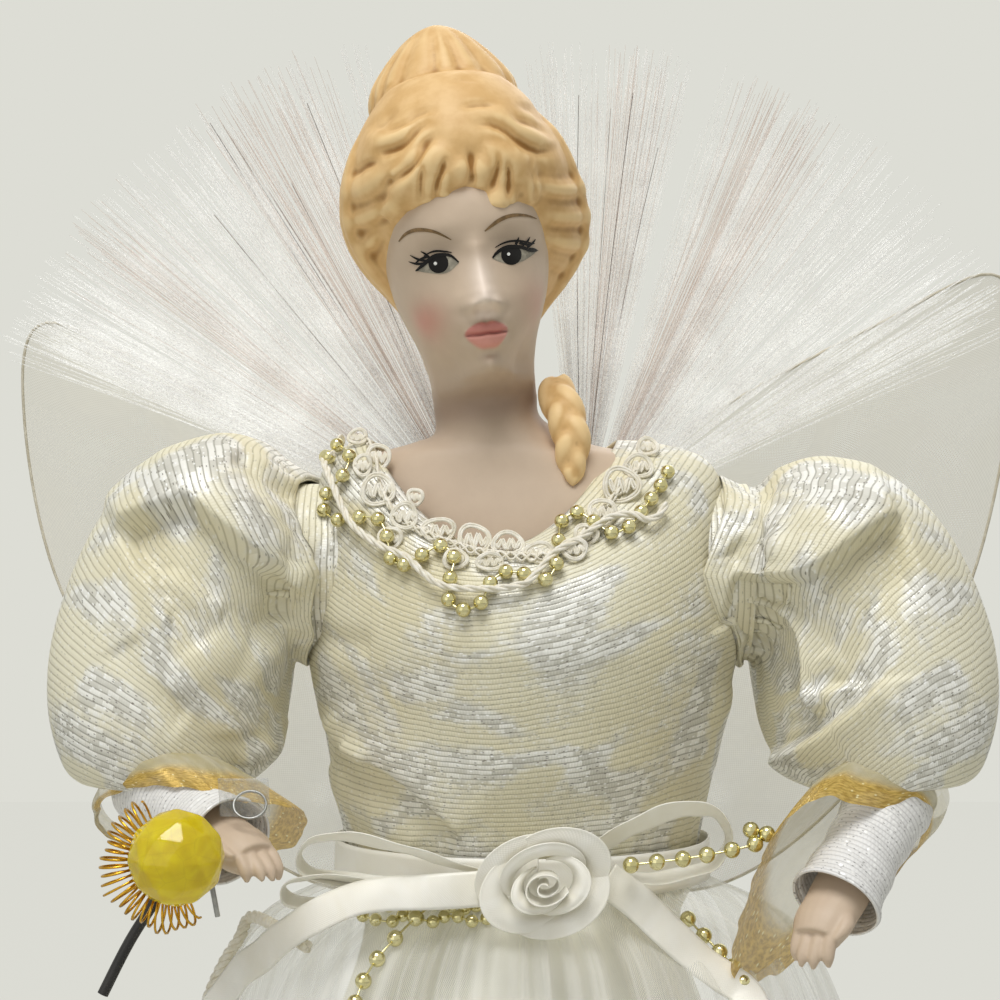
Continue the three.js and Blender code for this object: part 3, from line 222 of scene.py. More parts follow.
def threads(name, routes, radius, material, body="doll", closed=False, fineness=2):
    """Round threads or wires along routes, as one piece."""
    curve = bpy.data.curves.new(name, "CURVE")
    curve.dimensions = "3D"
    curve.bevel_depth = radius
    curve.bevel_resolution = fineness
    curve.use_fill_caps = True
    for route in routes:
        spline = curve.splines.new("POLY")
        spline.points.add(len(route) - 1)
        for point, place in zip(spline.points, route):
            point.co = (*place, 1)
        spline.use_cyclic_u = closed
        spline.use_smooth = True
    curve.materials.append(material)
    obj = bpy.data.objects.new(name, curve)
    scene.collection.objects.link(obj)
    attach(obj, body)
    return obj


def modify(obj, kind, **settings):
    modifier = obj.modifiers.new(kind.lower(), kind)
    for key, value in settings.items():
        setattr(modifier, key, value)


def apply_modifiers(obj):
    """Bakes a piece's modifiers into its mesh."""
    graph = bpy.context.evaluated_depsgraph_get()
    made = bpy.data.meshes.new_from_object(obj.evaluated_get(graph))
    old = obj.data
    obj.modifiers.clear()
    obj.data = made
    bpy.data.meshes.remove(old)
    made.polygons.foreach_set("use_smooth", [True] * len(made.polygons))


# Node tools
def linear(channel):
    share = channel / 255
    return share / 12.92 if share <= 0.04045 else ((share + 0.055) / 1.055) ** 2.4


def paint(red, green, blue):
    """Colour by its usual 0 to 255 screen values."""
    return (linear(red), linear(green), linear(blue), 1.0)


def wire_up(tree, node, values):
    for key, value in values.items():
        if isinstance(value, bpy.types.NodeSocket):
            tree.links.new(value, node.inputs[key])
        else:
            node.inputs[key].default_value = value


def node(tree, kind, values=None, **settings):
    made = tree.nodes.new("ShaderNode" + kind)
    for key, value in settings.items():
        setattr(made, key, value)
    wire_up(tree, made, values or {})
    return made


def calc(tree, operation, a, b=0.0):
    return node(tree, "Math", {0: a, 1: b}, operation=operation).outputs[0]


def mixed(tree, factor, a, b):
    return node(tree, "Mix", {0: factor, 6: a, 7: b}, data_type="RGBA").outputs[2]


def mixed_value(tree, factor, a, b):
    return node(tree, "Mix", {0: factor, 2: a, 3: b}).outputs[0]


def spread(tree, value, low, high, start=0.0, end=1.0):
    values = {0: value, 1: low, 2: high, 3: start, 4: end}
    return node(tree, "MapRange", values, interpolation_type="SMOOTHSTEP").outputs[0]


def grain(tree, vector, scale, detail, distortion=0.0):
    values = {"Vector": vector, "Scale": scale, "Detail": detail, "Distortion": distortion}
    return node(tree, "TexNoise", values).outputs[0]


def scaled(tree, vector, scale, turn=0.0):
    values = {"Vector": vector, "Scale": scale, "Rotation": (0, 0, turn)}
    return node(tree, "Mapping", values).outputs[0]


def embossed(tree, height, distance, strength):
    values = {"Height": height, "Distance": distance, "Strength": strength}
    return node(tree, "Bump", values).outputs[0]


def place_on(tree, kind):
    return node(tree, "TexCoord").outputs[kind]


def group(name, inputs, outputs):
    """Empty shader group with named sockets; returns its tree, its inputs and its output node."""
    tree = bpy.data.node_groups.new(name, "ShaderNodeTree")
    for label, kind in inputs:
        tree.interface.new_socket(label, in_out="INPUT", socket_type="NodeSocket" + kind)
    for label, kind in outputs:
        tree.interface.new_socket(label, in_out="OUTPUT", socket_type="NodeSocket" + kind)
    source = tree.nodes.new("NodeGroupInput")
    target = tree.nodes.new("NodeGroupOutput")
    return tree, source.outputs, target


def placed_group(tree, shared, values):
    made = tree.nodes.new("ShaderNodeGroup")
    made.node_tree = shared
    wire_up(tree, made, values)
    return made.outputs


def finish(name, **values):
    """Material with its main shader's sockets set; returns it, its tree and the shader."""
    material = bpy.data.materials.new(name)
    material.use_nodes = True
    tree = material.node_tree
    shader = tree.nodes["Principled BSDF"]
    wire_up(tree, shader, {key.replace("_", " "): value for key, value in values.items()})
    return material, tree, shader


def specks(tree, vector, long, tall, share):
    """Mask of small specks: their length and height in metres, and the share of places that hold one."""
    cells = scaled(tree, vector, (1 / (3 * long), 1 / (3 * tall), 1))
    found = node(tree, "TexVoronoi", {"Vector": cells, "Scale": 1.0}, voronoi_dimensions="2D").outputs
    pick = node(tree, "SeparateColor", {0: found["Color"]}).outputs[0]
    chosen = spread(tree, pick, 1 - share, 1.02 - share)
    return calc(tree, "MULTIPLY", spread(tree, found["Distance"], 0.22, 0.1), chosen)


# Shared effects
def mottle_group():
    """Slow and fine colour change over a moulded or cast surface, with its fine relief."""
    inputs = [("Vector", "Vector"), ("Scale", "Float"), ("Colour", "Color"), ("Shade", "Color")]
    tree, given, target = group("mottle", inputs, [("Colour", "Color"), ("Grain", "Float")])
    slow = grain(tree, given["Vector"], given["Scale"], 3.0)
    fine = grain(tree, given["Vector"], calc(tree, "MULTIPLY", given["Scale"], 14.0), 2.0)
    both = calc(tree, "ADD", calc(tree, "MULTIPLY", slow, 0.7), calc(tree, "MULTIPLY", fine, 0.3))
    share = spread(tree, both, 0.35, 0.68)
    wire_up(tree, target, {"Colour": mixed(tree, share, given["Shade"], given["Colour"]), "Grain": fine})
    return tree


FLOAT_LENGTH = 2.2 * MM  # how far a silver thread runs on the face of the cloth


def rib_group():
    """Woven ribs across V and finer threads along U; U and V are in metres on the cloth."""
    inputs = [("Vector", "Vector"), ("Rib", "Float"), ("Thread", "Float")]
    outputs = [("Height", "Float"), ("Gap", "Float"), ("Dash", "Float")]
    tree, given, target = group("woven ribs", inputs, outputs)
    wander = calc(tree, "MULTIPLY", grain(tree, given["Vector"], 80.0, 1.0), 1.2)
    parts = node(tree, "SeparateXYZ", {0: given["Vector"]}).outputs
    rib_turn = calc(tree, "ADD", calc(tree, "DIVIDE", parts[1], given["Rib"]), wander)
    rib = calc(tree, "ABSOLUTE", calc(tree, "SINE", calc(tree, "MULTIPLY", rib_turn, math.pi)))
    row_number = calc(tree, "FLOOR", rib_turn)
    half_step = calc(tree, "MULTIPLY", row_number, 0.5)
    thread_turn = calc(tree, "ADD", calc(tree, "DIVIDE", parts[0], given["Thread"]), half_step)
    thread = calc(tree, "ABSOLUTE", calc(tree, "SINE", calc(tree, "MULTIPLY", thread_turn, math.pi)))
    height = calc(tree, "ADD", calc(tree, "POWER", rib, 0.6), calc(tree, "MULTIPLY", thread, 0.35))
    gap = calc(tree, "SUBTRACT", 1.0, spread(tree, rib, 0.1, 0.55))
    float_turn = calc(tree, "DIVIDE", parts[0], FLOAT_LENGTH)
    shifted = calc(tree, "ADD", float_turn, calc(tree, "MULTIPLY", row_number, 0.37))
    cell = node(tree, "CombineXYZ", {0: calc(tree, "FLOOR", shifted), 1: row_number}).outputs[0]
    dash = node(tree, "TexWhiteNoise", {"Vector": cell}, noise_dimensions="2D").outputs["Value"]
    wire_up(tree, target, {"Height": height, "Gap": gap, "Dash": dash})
    return tree


def crinkle_group():
    """Fine weave of thin cloth, in metres on it, and a slow crumple that may be drawn out one way."""
    inputs = [("Vector", "Vector"), ("Drawn out", "Vector"), ("Crumple", "Float"), ("Weave", "Float")]
    tree, given, target = group("crinkle", inputs, [("Height", "Float"), ("Cloud", "Float")])
    slow = grain(tree, given["Drawn out"], given["Crumple"], 3.0, 0.6)
    parts = node(tree, "SeparateXYZ", {0: given["Vector"]}).outputs
    lines = []
    for part in parts[:2]:
        turn = calc(tree, "MULTIPLY", calc(tree, "DIVIDE", part, given["Weave"]), 2 * math.pi)
        lines.append(calc(tree, "SINE", turn))
    weave = calc(tree, "MULTIPLY", calc(tree, "MULTIPLY", lines[0], lines[1]), 0.12)
    wire_up(tree, target, {"Height": calc(tree, "ADD", slow, weave), "Cloud": slow})
    return tree


MOTTLE = mottle_group()
RIBS = rib_group()
CRINKLE = crinkle_group()


# Finishes
def porcelain_finish():
    """Painted bisque: the paint is on the mesh."""
    material, tree, shader = finish("painted bisque", Roughness=0.5, Specular_IOR_Level=0.42)
    painted = node(tree, "Attribute", attribute_name="paint").outputs["Color"]
    spots = grain(tree, place_on(tree, "Object"), 320.0, 4.0)
    shade = mixed(tree, spread(tree, spots, 0.3, 0.7, 0.0, 0.06), painted, paint(150, 116, 94))
    fine = grain(tree, place_on(tree, "Object"), 1800.0, 2.0)
    wire_up(tree, shader, {"Base Color": shade, "Normal": embossed(tree, fine, 0.02 * MM, 0.5)})
    return material


def hair_finish():
    """Moulded hair in matt paint, with painted shade in its hollows and a painted highlight on its rises."""
    material, tree, shader = finish("painted hair", Roughness=0.52, Specular_IOR_Level=0.35)
    hollow = node(tree, "Attribute", attribute_name="hollow").outputs["Fac"]
    spots = grain(tree, place_on(tree, "Object"), 260.0, 4.0)
    base = mixed(tree, spread(tree, spots, 0.32, 0.7), paint(217, 175, 114), paint(232, 194, 137))
    # Painted shade in the hollows between the locks
    deep = mixed(tree, spread(tree, hollow, 0.08, 0.8), base, paint(158, 112, 54))
    # Painted highlight on the rises of the locks
    lit = mixed(tree, spread(tree, hollow, -0.1, -0.6), deep, paint(245, 212, 156))
    fine = grain(tree, place_on(tree, "Object"), 1500.0, 3.0)
    wire_up(tree, shader, {"Base Color": lit, "Normal": embossed(tree, fine, 0.03 * MM, 0.6)})
    return material


def brush_finish(name, red, green, blue, roughness):
    """Brushed paint line on the bisque."""
    material, tree, shader = finish(name, Roughness=roughness, Specular_IOR_Level=0.18)
    values = {
        "Vector": place_on(tree, "Object"),
        "Scale": 900.0,
        "Colour": paint(red, green, blue),
        "Shade": paint(red * 0.75, green * 0.75, blue * 0.75),
    }
    wire_up(tree, shader, {"Base Color": placed_group(tree, MOTTLE, values)["Colour"]})
    return material


PORCELAIN = porcelain_finish()
HAIR = hair_finish()
LASH_PAINT = brush_finish("black paint", 12, 8, 7, 0.4)
BROW_PAINT = brush_finish("brown paint", 148, 120, 84, 0.5)
# Eye-white paint, greyed down as painted shade for the shade that lies over the eyes
EYE_WHITE_WITH_PAINTED_SHADE = brush_finish("eye paint", 168, 161, 143, 0.4)
EYE_SPARK = brush_finish("white paint", 244, 244, 236, 0.3)


def brocade_finish():
    """Ivory brocade: flat ribs with painted shade between them, leaf-shaped patches of silver thread, painted
    glints and dark flecks.
    """
    material, tree, shader = finish("ivory brocade", Specular_IOR_Level=0.5)
    cloth = place_on(tree, "UV")
    ribs = placed_group(tree, RIBS, {"Vector": cloth, "Rib": 1.12 * MM, "Thread": 0.5 * MM})
    leaves = grain(tree, scaled(tree, cloth, (58, 84, 1), 0.6), 1.0, 1.5, 0.8)
    ragged = grain(tree, scaled(tree, cloth, (700, 900, 1)), 1.0, 1.0)
    leaf = spread(tree, calc(tree, "ADD", leaves, calc(tree, "MULTIPLY", ragged, 0.14)), 0.5, 0.68)
    few = specks(tree, cloth, 0.5 * MM, 0.2 * MM, 0.3)
    dark = calc(tree, "MULTIPLY", few, mixed_value(tree, leaf, 0.3, 0.75))
    # Painted glints of the silver thread, as bright flecks
    many = specks(tree, cloth, 0.62 * MM, 0.3 * MM, 0.5)
    glints = calc(tree, "MULTIPLY", many, mixed_value(tree, leaf, 0.3, 0.8))
    cloud = grain(tree, cloth, 24.0, 2.0)
    cream = mixed(tree, spread(tree, cloud, 0.36, 0.66), paint(236, 231, 206), paint(225, 217, 184))
    # Painted shade in the gaps between the ribs
    ribbed = mixed(tree, calc(tree, "MULTIPLY", ribs["Gap"], 0.55), cream, paint(170, 161, 126))
    floats = mixed(tree, spread(tree, ribs["Dash"], 0.1, 0.9), paint(203, 202, 195), paint(248, 248, 244))
    # Painted shade in the gaps between the silver floats
    tinsel = mixed(tree, calc(tree, "MULTIPLY", ribs["Gap"], 0.75), floats, paint(138, 135, 126))
    cloth_color = mixed(tree, calc(tree, "MULTIPLY", leaf, 0.8), ribbed, tinsel)
    flecked = mixed(tree, dark, cloth_color, paint(92, 86, 72))
    color = mixed(tree, glints, flecked, paint(255, 255, 252))
    values = {
        "Base Color": color,
        "Roughness": mixed_value(tree, leaf, 0.48, 0.34),
        "Metallic": calc(tree, "MULTIPLY", leaf, 0.12),
        "Normal": embossed(tree, ribs["Height"], 0.1 * MM, 0.8),
    }
    wire_up(tree, shader, values)
    return material


def satin_finish(name, colour, shade, streak=(1, 1, 1)):
    """Satin with a soft gloss and a fine weave."""
    material, tree, shader = finish(name, Roughness=0.36, Specular_IOR_Level=0.6, Sheen_Weight=0.15)
    cloth = place_on(tree, "UV")
    values = {"Vector": cloth, "Drawn out": scaled(tree, cloth, streak), "Crumple": 90.0, "Weave": 0.42 * MM}
    crinkle = placed_group(tree, CRINKLE, values)
    color = mixed(tree, spread(tree, crinkle["Cloud"], 0.3, 0.7), shade, colour)
    wire_up(tree, shader, {"Base Color": color, "Normal": embossed(tree, crinkle["Height"], 0.14 * MM, 0.7)})
    return material


def organza_finish(name, colour, shade, thin, thick, streak=(1, 1, 1)):
    """Sheer cloth: thin and thick say how much it hides where it is thinnest and thickest."""
    material, tree, shader = finish(name, Roughness=0.42, Specular_IOR_Level=0.45)
    cloth = place_on(tree, "UV")
    values = {"Vector": cloth, "Drawn out": scaled(tree, cloth, streak), "Crumple": 55.0, "Weave": 0.6 * MM}
    crinkle = placed_group(tree, CRINKLE, values)
    color = mixed(tree, spread(tree, crinkle["Cloud"], 0.3, 0.7), shade, colour)
    wire_up(
        tree,
        shader,
        {
            "Base Color": color,
            "Alpha": spread(tree, crinkle["Height"], 0.25, 0.75, thin, thick),
            "Normal": embossed(tree, crinkle["Height"], 0.2 * MM, 0.6),
        },
    )
    return material


def gold_edge_finish(name, start, end):
    """Sheer cloth that turns to gold between two distances along it, in metres, with painted glints on the
    gold.
    """
    material, tree, shader = finish(name, Specular_IOR_Level=0.5)
    cloth = place_on(tree, "UV")
    values = {"Vector": cloth, "Drawn out": cloth, "Crumple": 160.0, "Weave": 0.5 * MM}
    crinkle = placed_group(tree, CRINKLE, values)
    along_cloth = node(tree, "SeparateXYZ", {0: cloth}).outputs[1]
    ragged = calc(tree, "ADD", along_cloth, calc(tree, "MULTIPLY", crinkle["Cloud"], 1.5 * MM))
    gold = spread(tree, ragged, start, end)
    # Painted glints on the gold threads
    gold_glints = calc(tree, "MULTIPLY", specks(tree, cloth, 0.4 * MM, 0.35 * MM, 0.3), gold)
    wisps = grain(tree, scaled(tree, cloth, (900, 2600, 1), 0.3), 1.0, 2.0)
    threads_color = mixed(tree, spread(tree, wisps, 0.3, 0.7), paint(178, 140, 42), paint(232, 198, 104))
    sheer = mixed(tree, spread(tree, crinkle["Cloud"], 0.3, 0.7), paint(206, 194, 146), paint(232, 224, 194))
    color = mixed(tree, gold_glints, mixed(tree, gold, sheer, threads_color), paint(255, 244, 190))
    wire_up(
        tree,
        shader,
        {
            "Base Color": color,
            "Roughness": mixed_value(tree, gold, 0.45, 0.3),
            "Metallic": calc(tree, "MULTIPLY", gold, 0.35),
            "Alpha": mixed_value(tree, gold, 0.5, 0.84),
            "Normal": embossed(tree, crinkle["Height"], 0.25 * MM, 0.8),
        },
    )
    return material


def silver_cloth_finish():
    """White cloth with silver thread through it, with painted shade between its ribs and painted glints."""
    material, tree, shader = finish("silver cloth", Specular_IOR_Level=0.55)
    cloth = place_on(tree, "UV")
    ribs = placed_group(tree, RIBS, {"Vector": cloth, "Rib": 0.8 * MM, "Thread": 0.7 * MM})
    # Painted glints of the silver thread, which is also made a little metallic and smooth there
    glints = specks(tree, cloth, 0.7 * MM, 0.35 * MM, 0.5)
    dark = specks(tree, cloth, 0.4 * MM, 0.2 * MM, 0.3)
    # Painted shade in the gaps between the ribs
    base = mixed(tree, calc(tree, "MULTIPLY", ribs["Gap"], 0.45), paint(238, 237, 234), paint(188, 186, 182))
    flecked = mixed(tree, calc(tree, "MULTIPLY", dark, 0.7), base, paint(128, 126, 122))
    color = mixed(tree, glints, flecked, paint(255, 255, 252))
    wire_up(
        tree,
        shader,
        {
            "Base Color": color,
            "Roughness": mixed_value(tree, glints, 0.5, 0.3),
            "Metallic": calc(tree, "MULTIPLY", glints, 0.2),
            "Normal": embossed(tree, ribs["Height"], 0.12 * MM, 0.8),
        },
    )
    return material


def plain_finish(name, colour, shade, scale, relief=0.02, **sockets):
    """Cast, moulded or spun surface with slow and fine changes of colour; relief is in mm."""
    material, tree, shader = finish(name, **sockets)
    values = {"Vector": place_on(tree, "Object"), "Scale": scale, "Colour": colour, "Shade": shade}
    mottle = placed_group(tree, MOTTLE, values)
    normal = embossed(tree, mottle["Grain"], relief * MM, 0.6)
    wire_up(tree, shader, {"Base Color": mottle["Colour"], "Normal": normal})
    return material


def metal_finish(name, colour, shade, roughness, scale=400.0):
    return plain_finish(name, colour, shade, scale, 0.01, Metallic=1.0, Roughness=roughness)


def crystal_finish():
    """Yellow acrylic, crazed inside."""
    material, tree, shader = finish("yellow acrylic", Roughness=0.1, IOR=1.49, Transmission_Weight=0.35)
    place = place_on(tree, "Object")
    cells = {"Vector": place, "Scale": 250.0}
    cracks = node(tree, "TexVoronoi", cells, feature="DISTANCE_TO_EDGE").outputs[0]
    cloud = grain(tree, place, 260.0, 3.0, 1.0)
    base = mixed(tree, spread(tree, cloud, 0.3, 0.7), paint(236, 208, 0), paint(252, 232, 10))
    color = mixed(tree, spread(tree, cracks, 0.04, 0.0, 0.0, 0.2), base, paint(206, 176, 0))
    wire_up(tree, shader, {"Base Color": color, "Normal": embossed(tree, cloud, 0.1 * MM, 0.4)})
    return material


def clear_finish(name, colour, shade, thin, thick, painted_glow=0.0):
    """Clear plastic film or strand; the last argument is an emission strength, painted light that keeps the
    strand bright where it lies in shade.
    """
    material, tree, shader = finish(name, Roughness=0.14, Specular_IOR_Level=0.6, Emission_Strength=painted_glow)
    values = {"Vector": place_on(tree, "Object"), "Scale": 120.0, "Colour": colour, "Shade": shade}
    mottle = placed_group(tree, MOTTLE, values)
    alpha = spread(tree, mottle["Grain"], 0.3, 0.7, thin, thick)
    color = mottle["Colour"]
    wire_up(tree, shader, {"Base Color": color, "Emission Color": color, "Alpha": alpha})
    return material


BROCADE = brocade_finish()
SATIN = satin_finish("cream satin", paint(251, 249, 240), paint(243, 239, 224))
SKIRT_SATIN = satin_finish("skirt satin", paint(247, 245, 230), paint(243, 240, 222), (1.8, 0.08, 1))
OVERSKIRT_ORGANZA = organza_finish(
    "skirt organza", paint(248, 247, 239), paint(228, 228, 222), 0.08, 0.44, (3.4, 0.1, 1)
)
WING_ORGANZA = organza_finish("wing organza", paint(216, 211, 194), paint(202, 196, 176), 0.34, 0.54)
FRILL_CLOTH = gold_edge_finish("gold-edged organza", 12 * MM, 15 * MM)
HEM_CLOTH = gold_edge_finish("gold hem", -2 * MM, -1 * MM)
SILVER_CLOTH = silver_cloth_finish()
LACE_THREAD = plain_finish(
    "ivory thread", paint(248, 244, 232), paint(232, 225, 204), 900.0, 0.06, Roughness=0.7
)
GOLD_BEAD = metal_finish("gold beads", paint(228, 221, 176), paint(208, 199, 146), 0.1)
GOLD_WIRE = metal_finish("gold wire", paint(224, 178, 62), paint(188, 138, 34), 0.22)
STEEL = metal_finish("steel wire", paint(176, 176, 172), paint(140, 140, 138), 0.35)
ALUMINIUM = metal_finish("aluminium", paint(204, 205, 206), paint(178, 179, 181), 0.38, 160.0)
BRASS = metal_finish("brass", paint(204, 170, 92), paint(168, 134, 64), 0.3, 160.0)
CRYSTAL = crystal_finish()
CLEAR_FILM = clear_finish("clear film", paint(226, 230, 232), paint(206, 210, 214), 0.16, 0.3)
LAMP_GLASS = clear_finish("lamp glass", paint(236, 238, 240), paint(220, 224, 228), 0.3, 0.42)
# Clear fibre, kept bright in shade by emission as painted light
FIBRE = clear_finish("clear fibre", paint(248, 248, 245), paint(232, 231, 227), 0.18, 0.38, 0.1)
# Tinted and dark fibres: painted refraction, the brown that bunched clear fibres show
REFRACTION_TINT_FIBRE = clear_finish("tinted fibre", paint(220, 206, 195), paint(200, 183, 170), 0.18, 0.34, 0.12)
REFRACTION_DARK_FIBRE = clear_finish("dark fibre", paint(120, 98, 84), paint(84, 66, 56), 0.4, 0.7)
WRAPPED_WIRE = plain_finish(
    "wrapped wire", paint(212, 206, 188), paint(188, 180, 158), 500.0, 0.05, Roughness=0.6
)
WHITE_PLASTIC = plain_finish(
    "white plastic", paint(232, 230, 222), paint(220, 217, 206), 90.0, Roughness=0.45
)
BLACK_PLASTIC = plain_finish("black plastic", paint(38, 36, 34), paint(26, 25, 24), 300.0, Roughness=0.4)
STUFFED_CLOTH = plain_finish(
    "stuffed cotton", paint(232, 226, 210), paint(214, 206, 186), 240.0, 0.1, Roughness=0.85
)


# Head: bisque skin of face, neck and shoulder plate
NECK_BASE = mm(-5, -1, 286)
HEAD_LEAN = math.radians(7.4)
HEAD_TURN = math.radians(5)
WAIST = 217
TO_HEAD = (
    Matrix.Translation(NECK_BASE) @ Matrix.Rotation(-HEAD_LEAN, 4, "Y") @ Matrix.Rotation(HEAD_TURN, 4, "Z")
)
FROM_HEAD = TO_HEAD.inverted()
NECK_SHIFT = -5


def oval(ring, angle):
    """Point of a horizontal oval: height, half width, front and back reach, shift, front drop, in mm."""
    z, x, front, back, shift, drop = ring
    s = math.sin(angle)
    reach = front if s < 0 else back
    return mm(shift + x * math.cos(angle), reach * s, z - drop * max(0.0, -s) ** 2)


PLATE_RINGS = [
    (272.6, 32, 18, 18, 0, 0),
    (279, 33, 16, 18, 0, 0),
    (284.4, 30.5, 14, 17, 0.2 * NECK_SHIFT, 0),
    (288.6, 24.5, 12.6, 14, 0.5 * NECK_SHIFT, 0),
    (291, 15.5, 11.6, 12, 0.8 * NECK_SHIFT, 0),
]
FACE_RINGS = [
    (8, 9.8, 10, 10.5, 0, 0),
    (12.5, 9.3, 9.8, 10.5, 0, 0),
    (15.2, 9.3, 14.8, 12, 0, 0),
    (16.6, 9.3, 18.2, 13, 0, 0),
    (19, 9.6, 20, 15, 0, 0),
    (23, 10.6, 21, 17, 0, 0),
    (27.5, 12.3, 21.3, 19, 0, 0),
    (31, 13.5, 21.2, 19.6, 0, 0),
    (35, 14.3, 20.9, 20, 0, 0),
    (40, 14.9, 21.4, 20, 0, 0),
    (47, 14.6, 20.6, 19, 0, 0),
    (56, 11, 14, 14, 0, 0),
]
EYE_X = 6.25
MOUTH_Z = 22.6
# Nose along its ridge, bottom to top, in mm: height on the head, rise and half width
NOSE_Z = (26.0, 39.0)
NOSE_RISE = [0.6, 4.5, 4.7, 3.5, 2.5, 1.8, 1.2, 0.8, 0.3]
NOSE_WIDTH = [2.6, 2.8, 2.7, 2.3, 2.0, 1.8, 1.7, 1.8, 2.0]
# Rounded rises and hollows on each half of the face: across, up, their two widths, rise, in mm
FACE_FORMS = [
    (EYE_X, 37.6, 4.2, 2.6, -1.5),
    (EYE_X, 35.6, 3.3, 2.3, 0.75),
    (EYE_X, 41.5, 5.2, 2.2, 0.35),
    (2.3, 27.3, 1.05, 1.15, 1.5),
    (1.0, 26.5, 0.6, 0.45, -0.5),
    (9.0, 28.0, 4.6, 4.6, 0.8),
    (4.4, 22.6, 1.1, 1.4, -0.55),
    (3.4, 18.6, 2.4, 1.4, -0.1),
]
MIDDLE_FORMS = [
    (0, 22.8, 5.2, 3.4, 1.1),
    (0, 25.1, 0.7, 1.2, -0.3),
    (0, 19.5, 3.0, 0.9, -0.7),
    (0, 17.0, 3.4, 2.0, 1.7),
]


def mouth_line(x):
    return MOUTH_Z + 0.12 * bell(x, 1.0) + 0.022 * x * x


def upper_lip_top(x):
    return mouth_line(x) + 2.2 * max(0.0, 1 - (abs(x) / 4.5) ** 2.2) - 0.35 * bell(x, 0.75)


def lower_lip_foot(x):
    return mouth_line(x) - 2.4 * max(0.0, 1 - (abs(x) / 4.4) ** 3)


def face_rise(x, z):
    """How far the face stands proud of its oval at a place across and up, in mm."""
    rise = sum(h * bell(x - a, w) * bell(z - b, d) for a, b, w, d, h in MIDDLE_FORMS)
    side = abs(x)
    rise += sum(h * bell(side - a, w) * bell(z - b, d) for a, b, w, d, h in FACE_FORMS)
    t = (z - NOSE_Z[0]) / (NOSE_Z[1] - NOSE_Z[0])
    if -0.1 < t < 1.1:
        fade = ease(-0.1, 0.02, t) * (1 - ease(0.9, 1.1, t))
        rise += fade * along(NOSE_RISE, t) * bell(x, along(NOSE_WIDTH, t))
    line = mouth_line(x)
    open_width = 1 - ease(3.7, 4.6, side)
    upper = ease(line - 0.1, line + 0.5, z) * (1 - ease(upper_lip_top(x) - 0.5, upper_lip_top(x) + 0.35, z))
    lower = (1 - ease(line - 0.5, line + 0.1, z)) * ease(lower_lip_foot(x) - 0.4, lower_lip_foot(x) + 0.6, z)
    rise += open_width * (0.7 * upper + 0.95 * lower - 0.5 * bell(z - line, 0.28))
    return rise


SKIN = Vector(paint(209, 188, 164)[:3])
BLUSH = Vector(paint(220, 138, 126)[:3])
UPPER_LIP = Vector(paint(208, 122, 114)[:3])
LOWER_LIP = Vector(paint(226, 150, 138)[:3])
# Painted shade, for the eye sockets and under the nose
PAINTED_SHADE = Vector(paint(150, 132, 112)[:3])
# Painted highlight for the nose
NOSE_HIGHLIGHT = Vector(paint(246, 230, 214)[:3])
# Painted shadow that the chin casts on the neck
PAINTED_CHIN_SHADOW = Vector(paint(158, 134, 115)[:3])


def face_paint(x, z):
    """Colour brushed on the face at a place across and up, in mm: blush and lips, painted shade over the eye
    sockets and under the nose, and a painted highlight on the nose.
    """
    color = SKIN.lerp(BLUSH, 0.62 * bell(x + 9.9, 3.0) * bell(z - 26.6, 3.2))
    color = color.lerp(BLUSH, 0.3 * bell(x - 10.6, 3.4) * bell(z - 27.5, 4.0))
    # Painted shade over each eye socket, below the brow
    for side in (-1, 1):
        lid = bell(x - side * EYE_X, 4.2) * bell(z - 37.0, 2.5)
        color = color.lerp(PAINTED_SHADE, 0.72 * lid)
    # Painted highlight down the nose's ridge and over its tip
    tip = 1.9 + 0.9 * bell(z - 26.2, 1.3)
    color = color.lerp(NOSE_HIGHLIGHT, 0.8 * bell(x, tip) * ease(24.6, 25.8, z) * (1 - ease(32, 38, z)))
    # Painted shadow under the nose tip
    color = color.lerp(PAINTED_SHADE, 0.5 * bell(x, 1.7) * bell(z - 24.7, 0.4))
    line = mouth_line(x)
    inside = 1 - ease(3.7, 4.4, abs(x))
    upper = inside * ease(line - 0.2, line + 0.1, z) * (1 - ease(-0.2, 0.25, z - upper_lip_top(x)))
    lower = inside * ease(-0.35, 0.25, z - lower_lip_foot(x)) * (1 - ease(line - 0.1, line + 0.2, z))
    color = color.lerp(UPPER_LIP, 0.85 * upper).lerp(LOWER_LIP, 0.85 * lower)
    dark = 0.6 * bell(z - line, 0.22) * (1 - ease(3.6, 4.6, abs(x)))
    return color.lerp(Vector(paint(150, 78, 72)[:3]), dark)


JAW_TAPER = 0.36
SKIN_COLUMNS = 220
SKIN_ROWS = 260


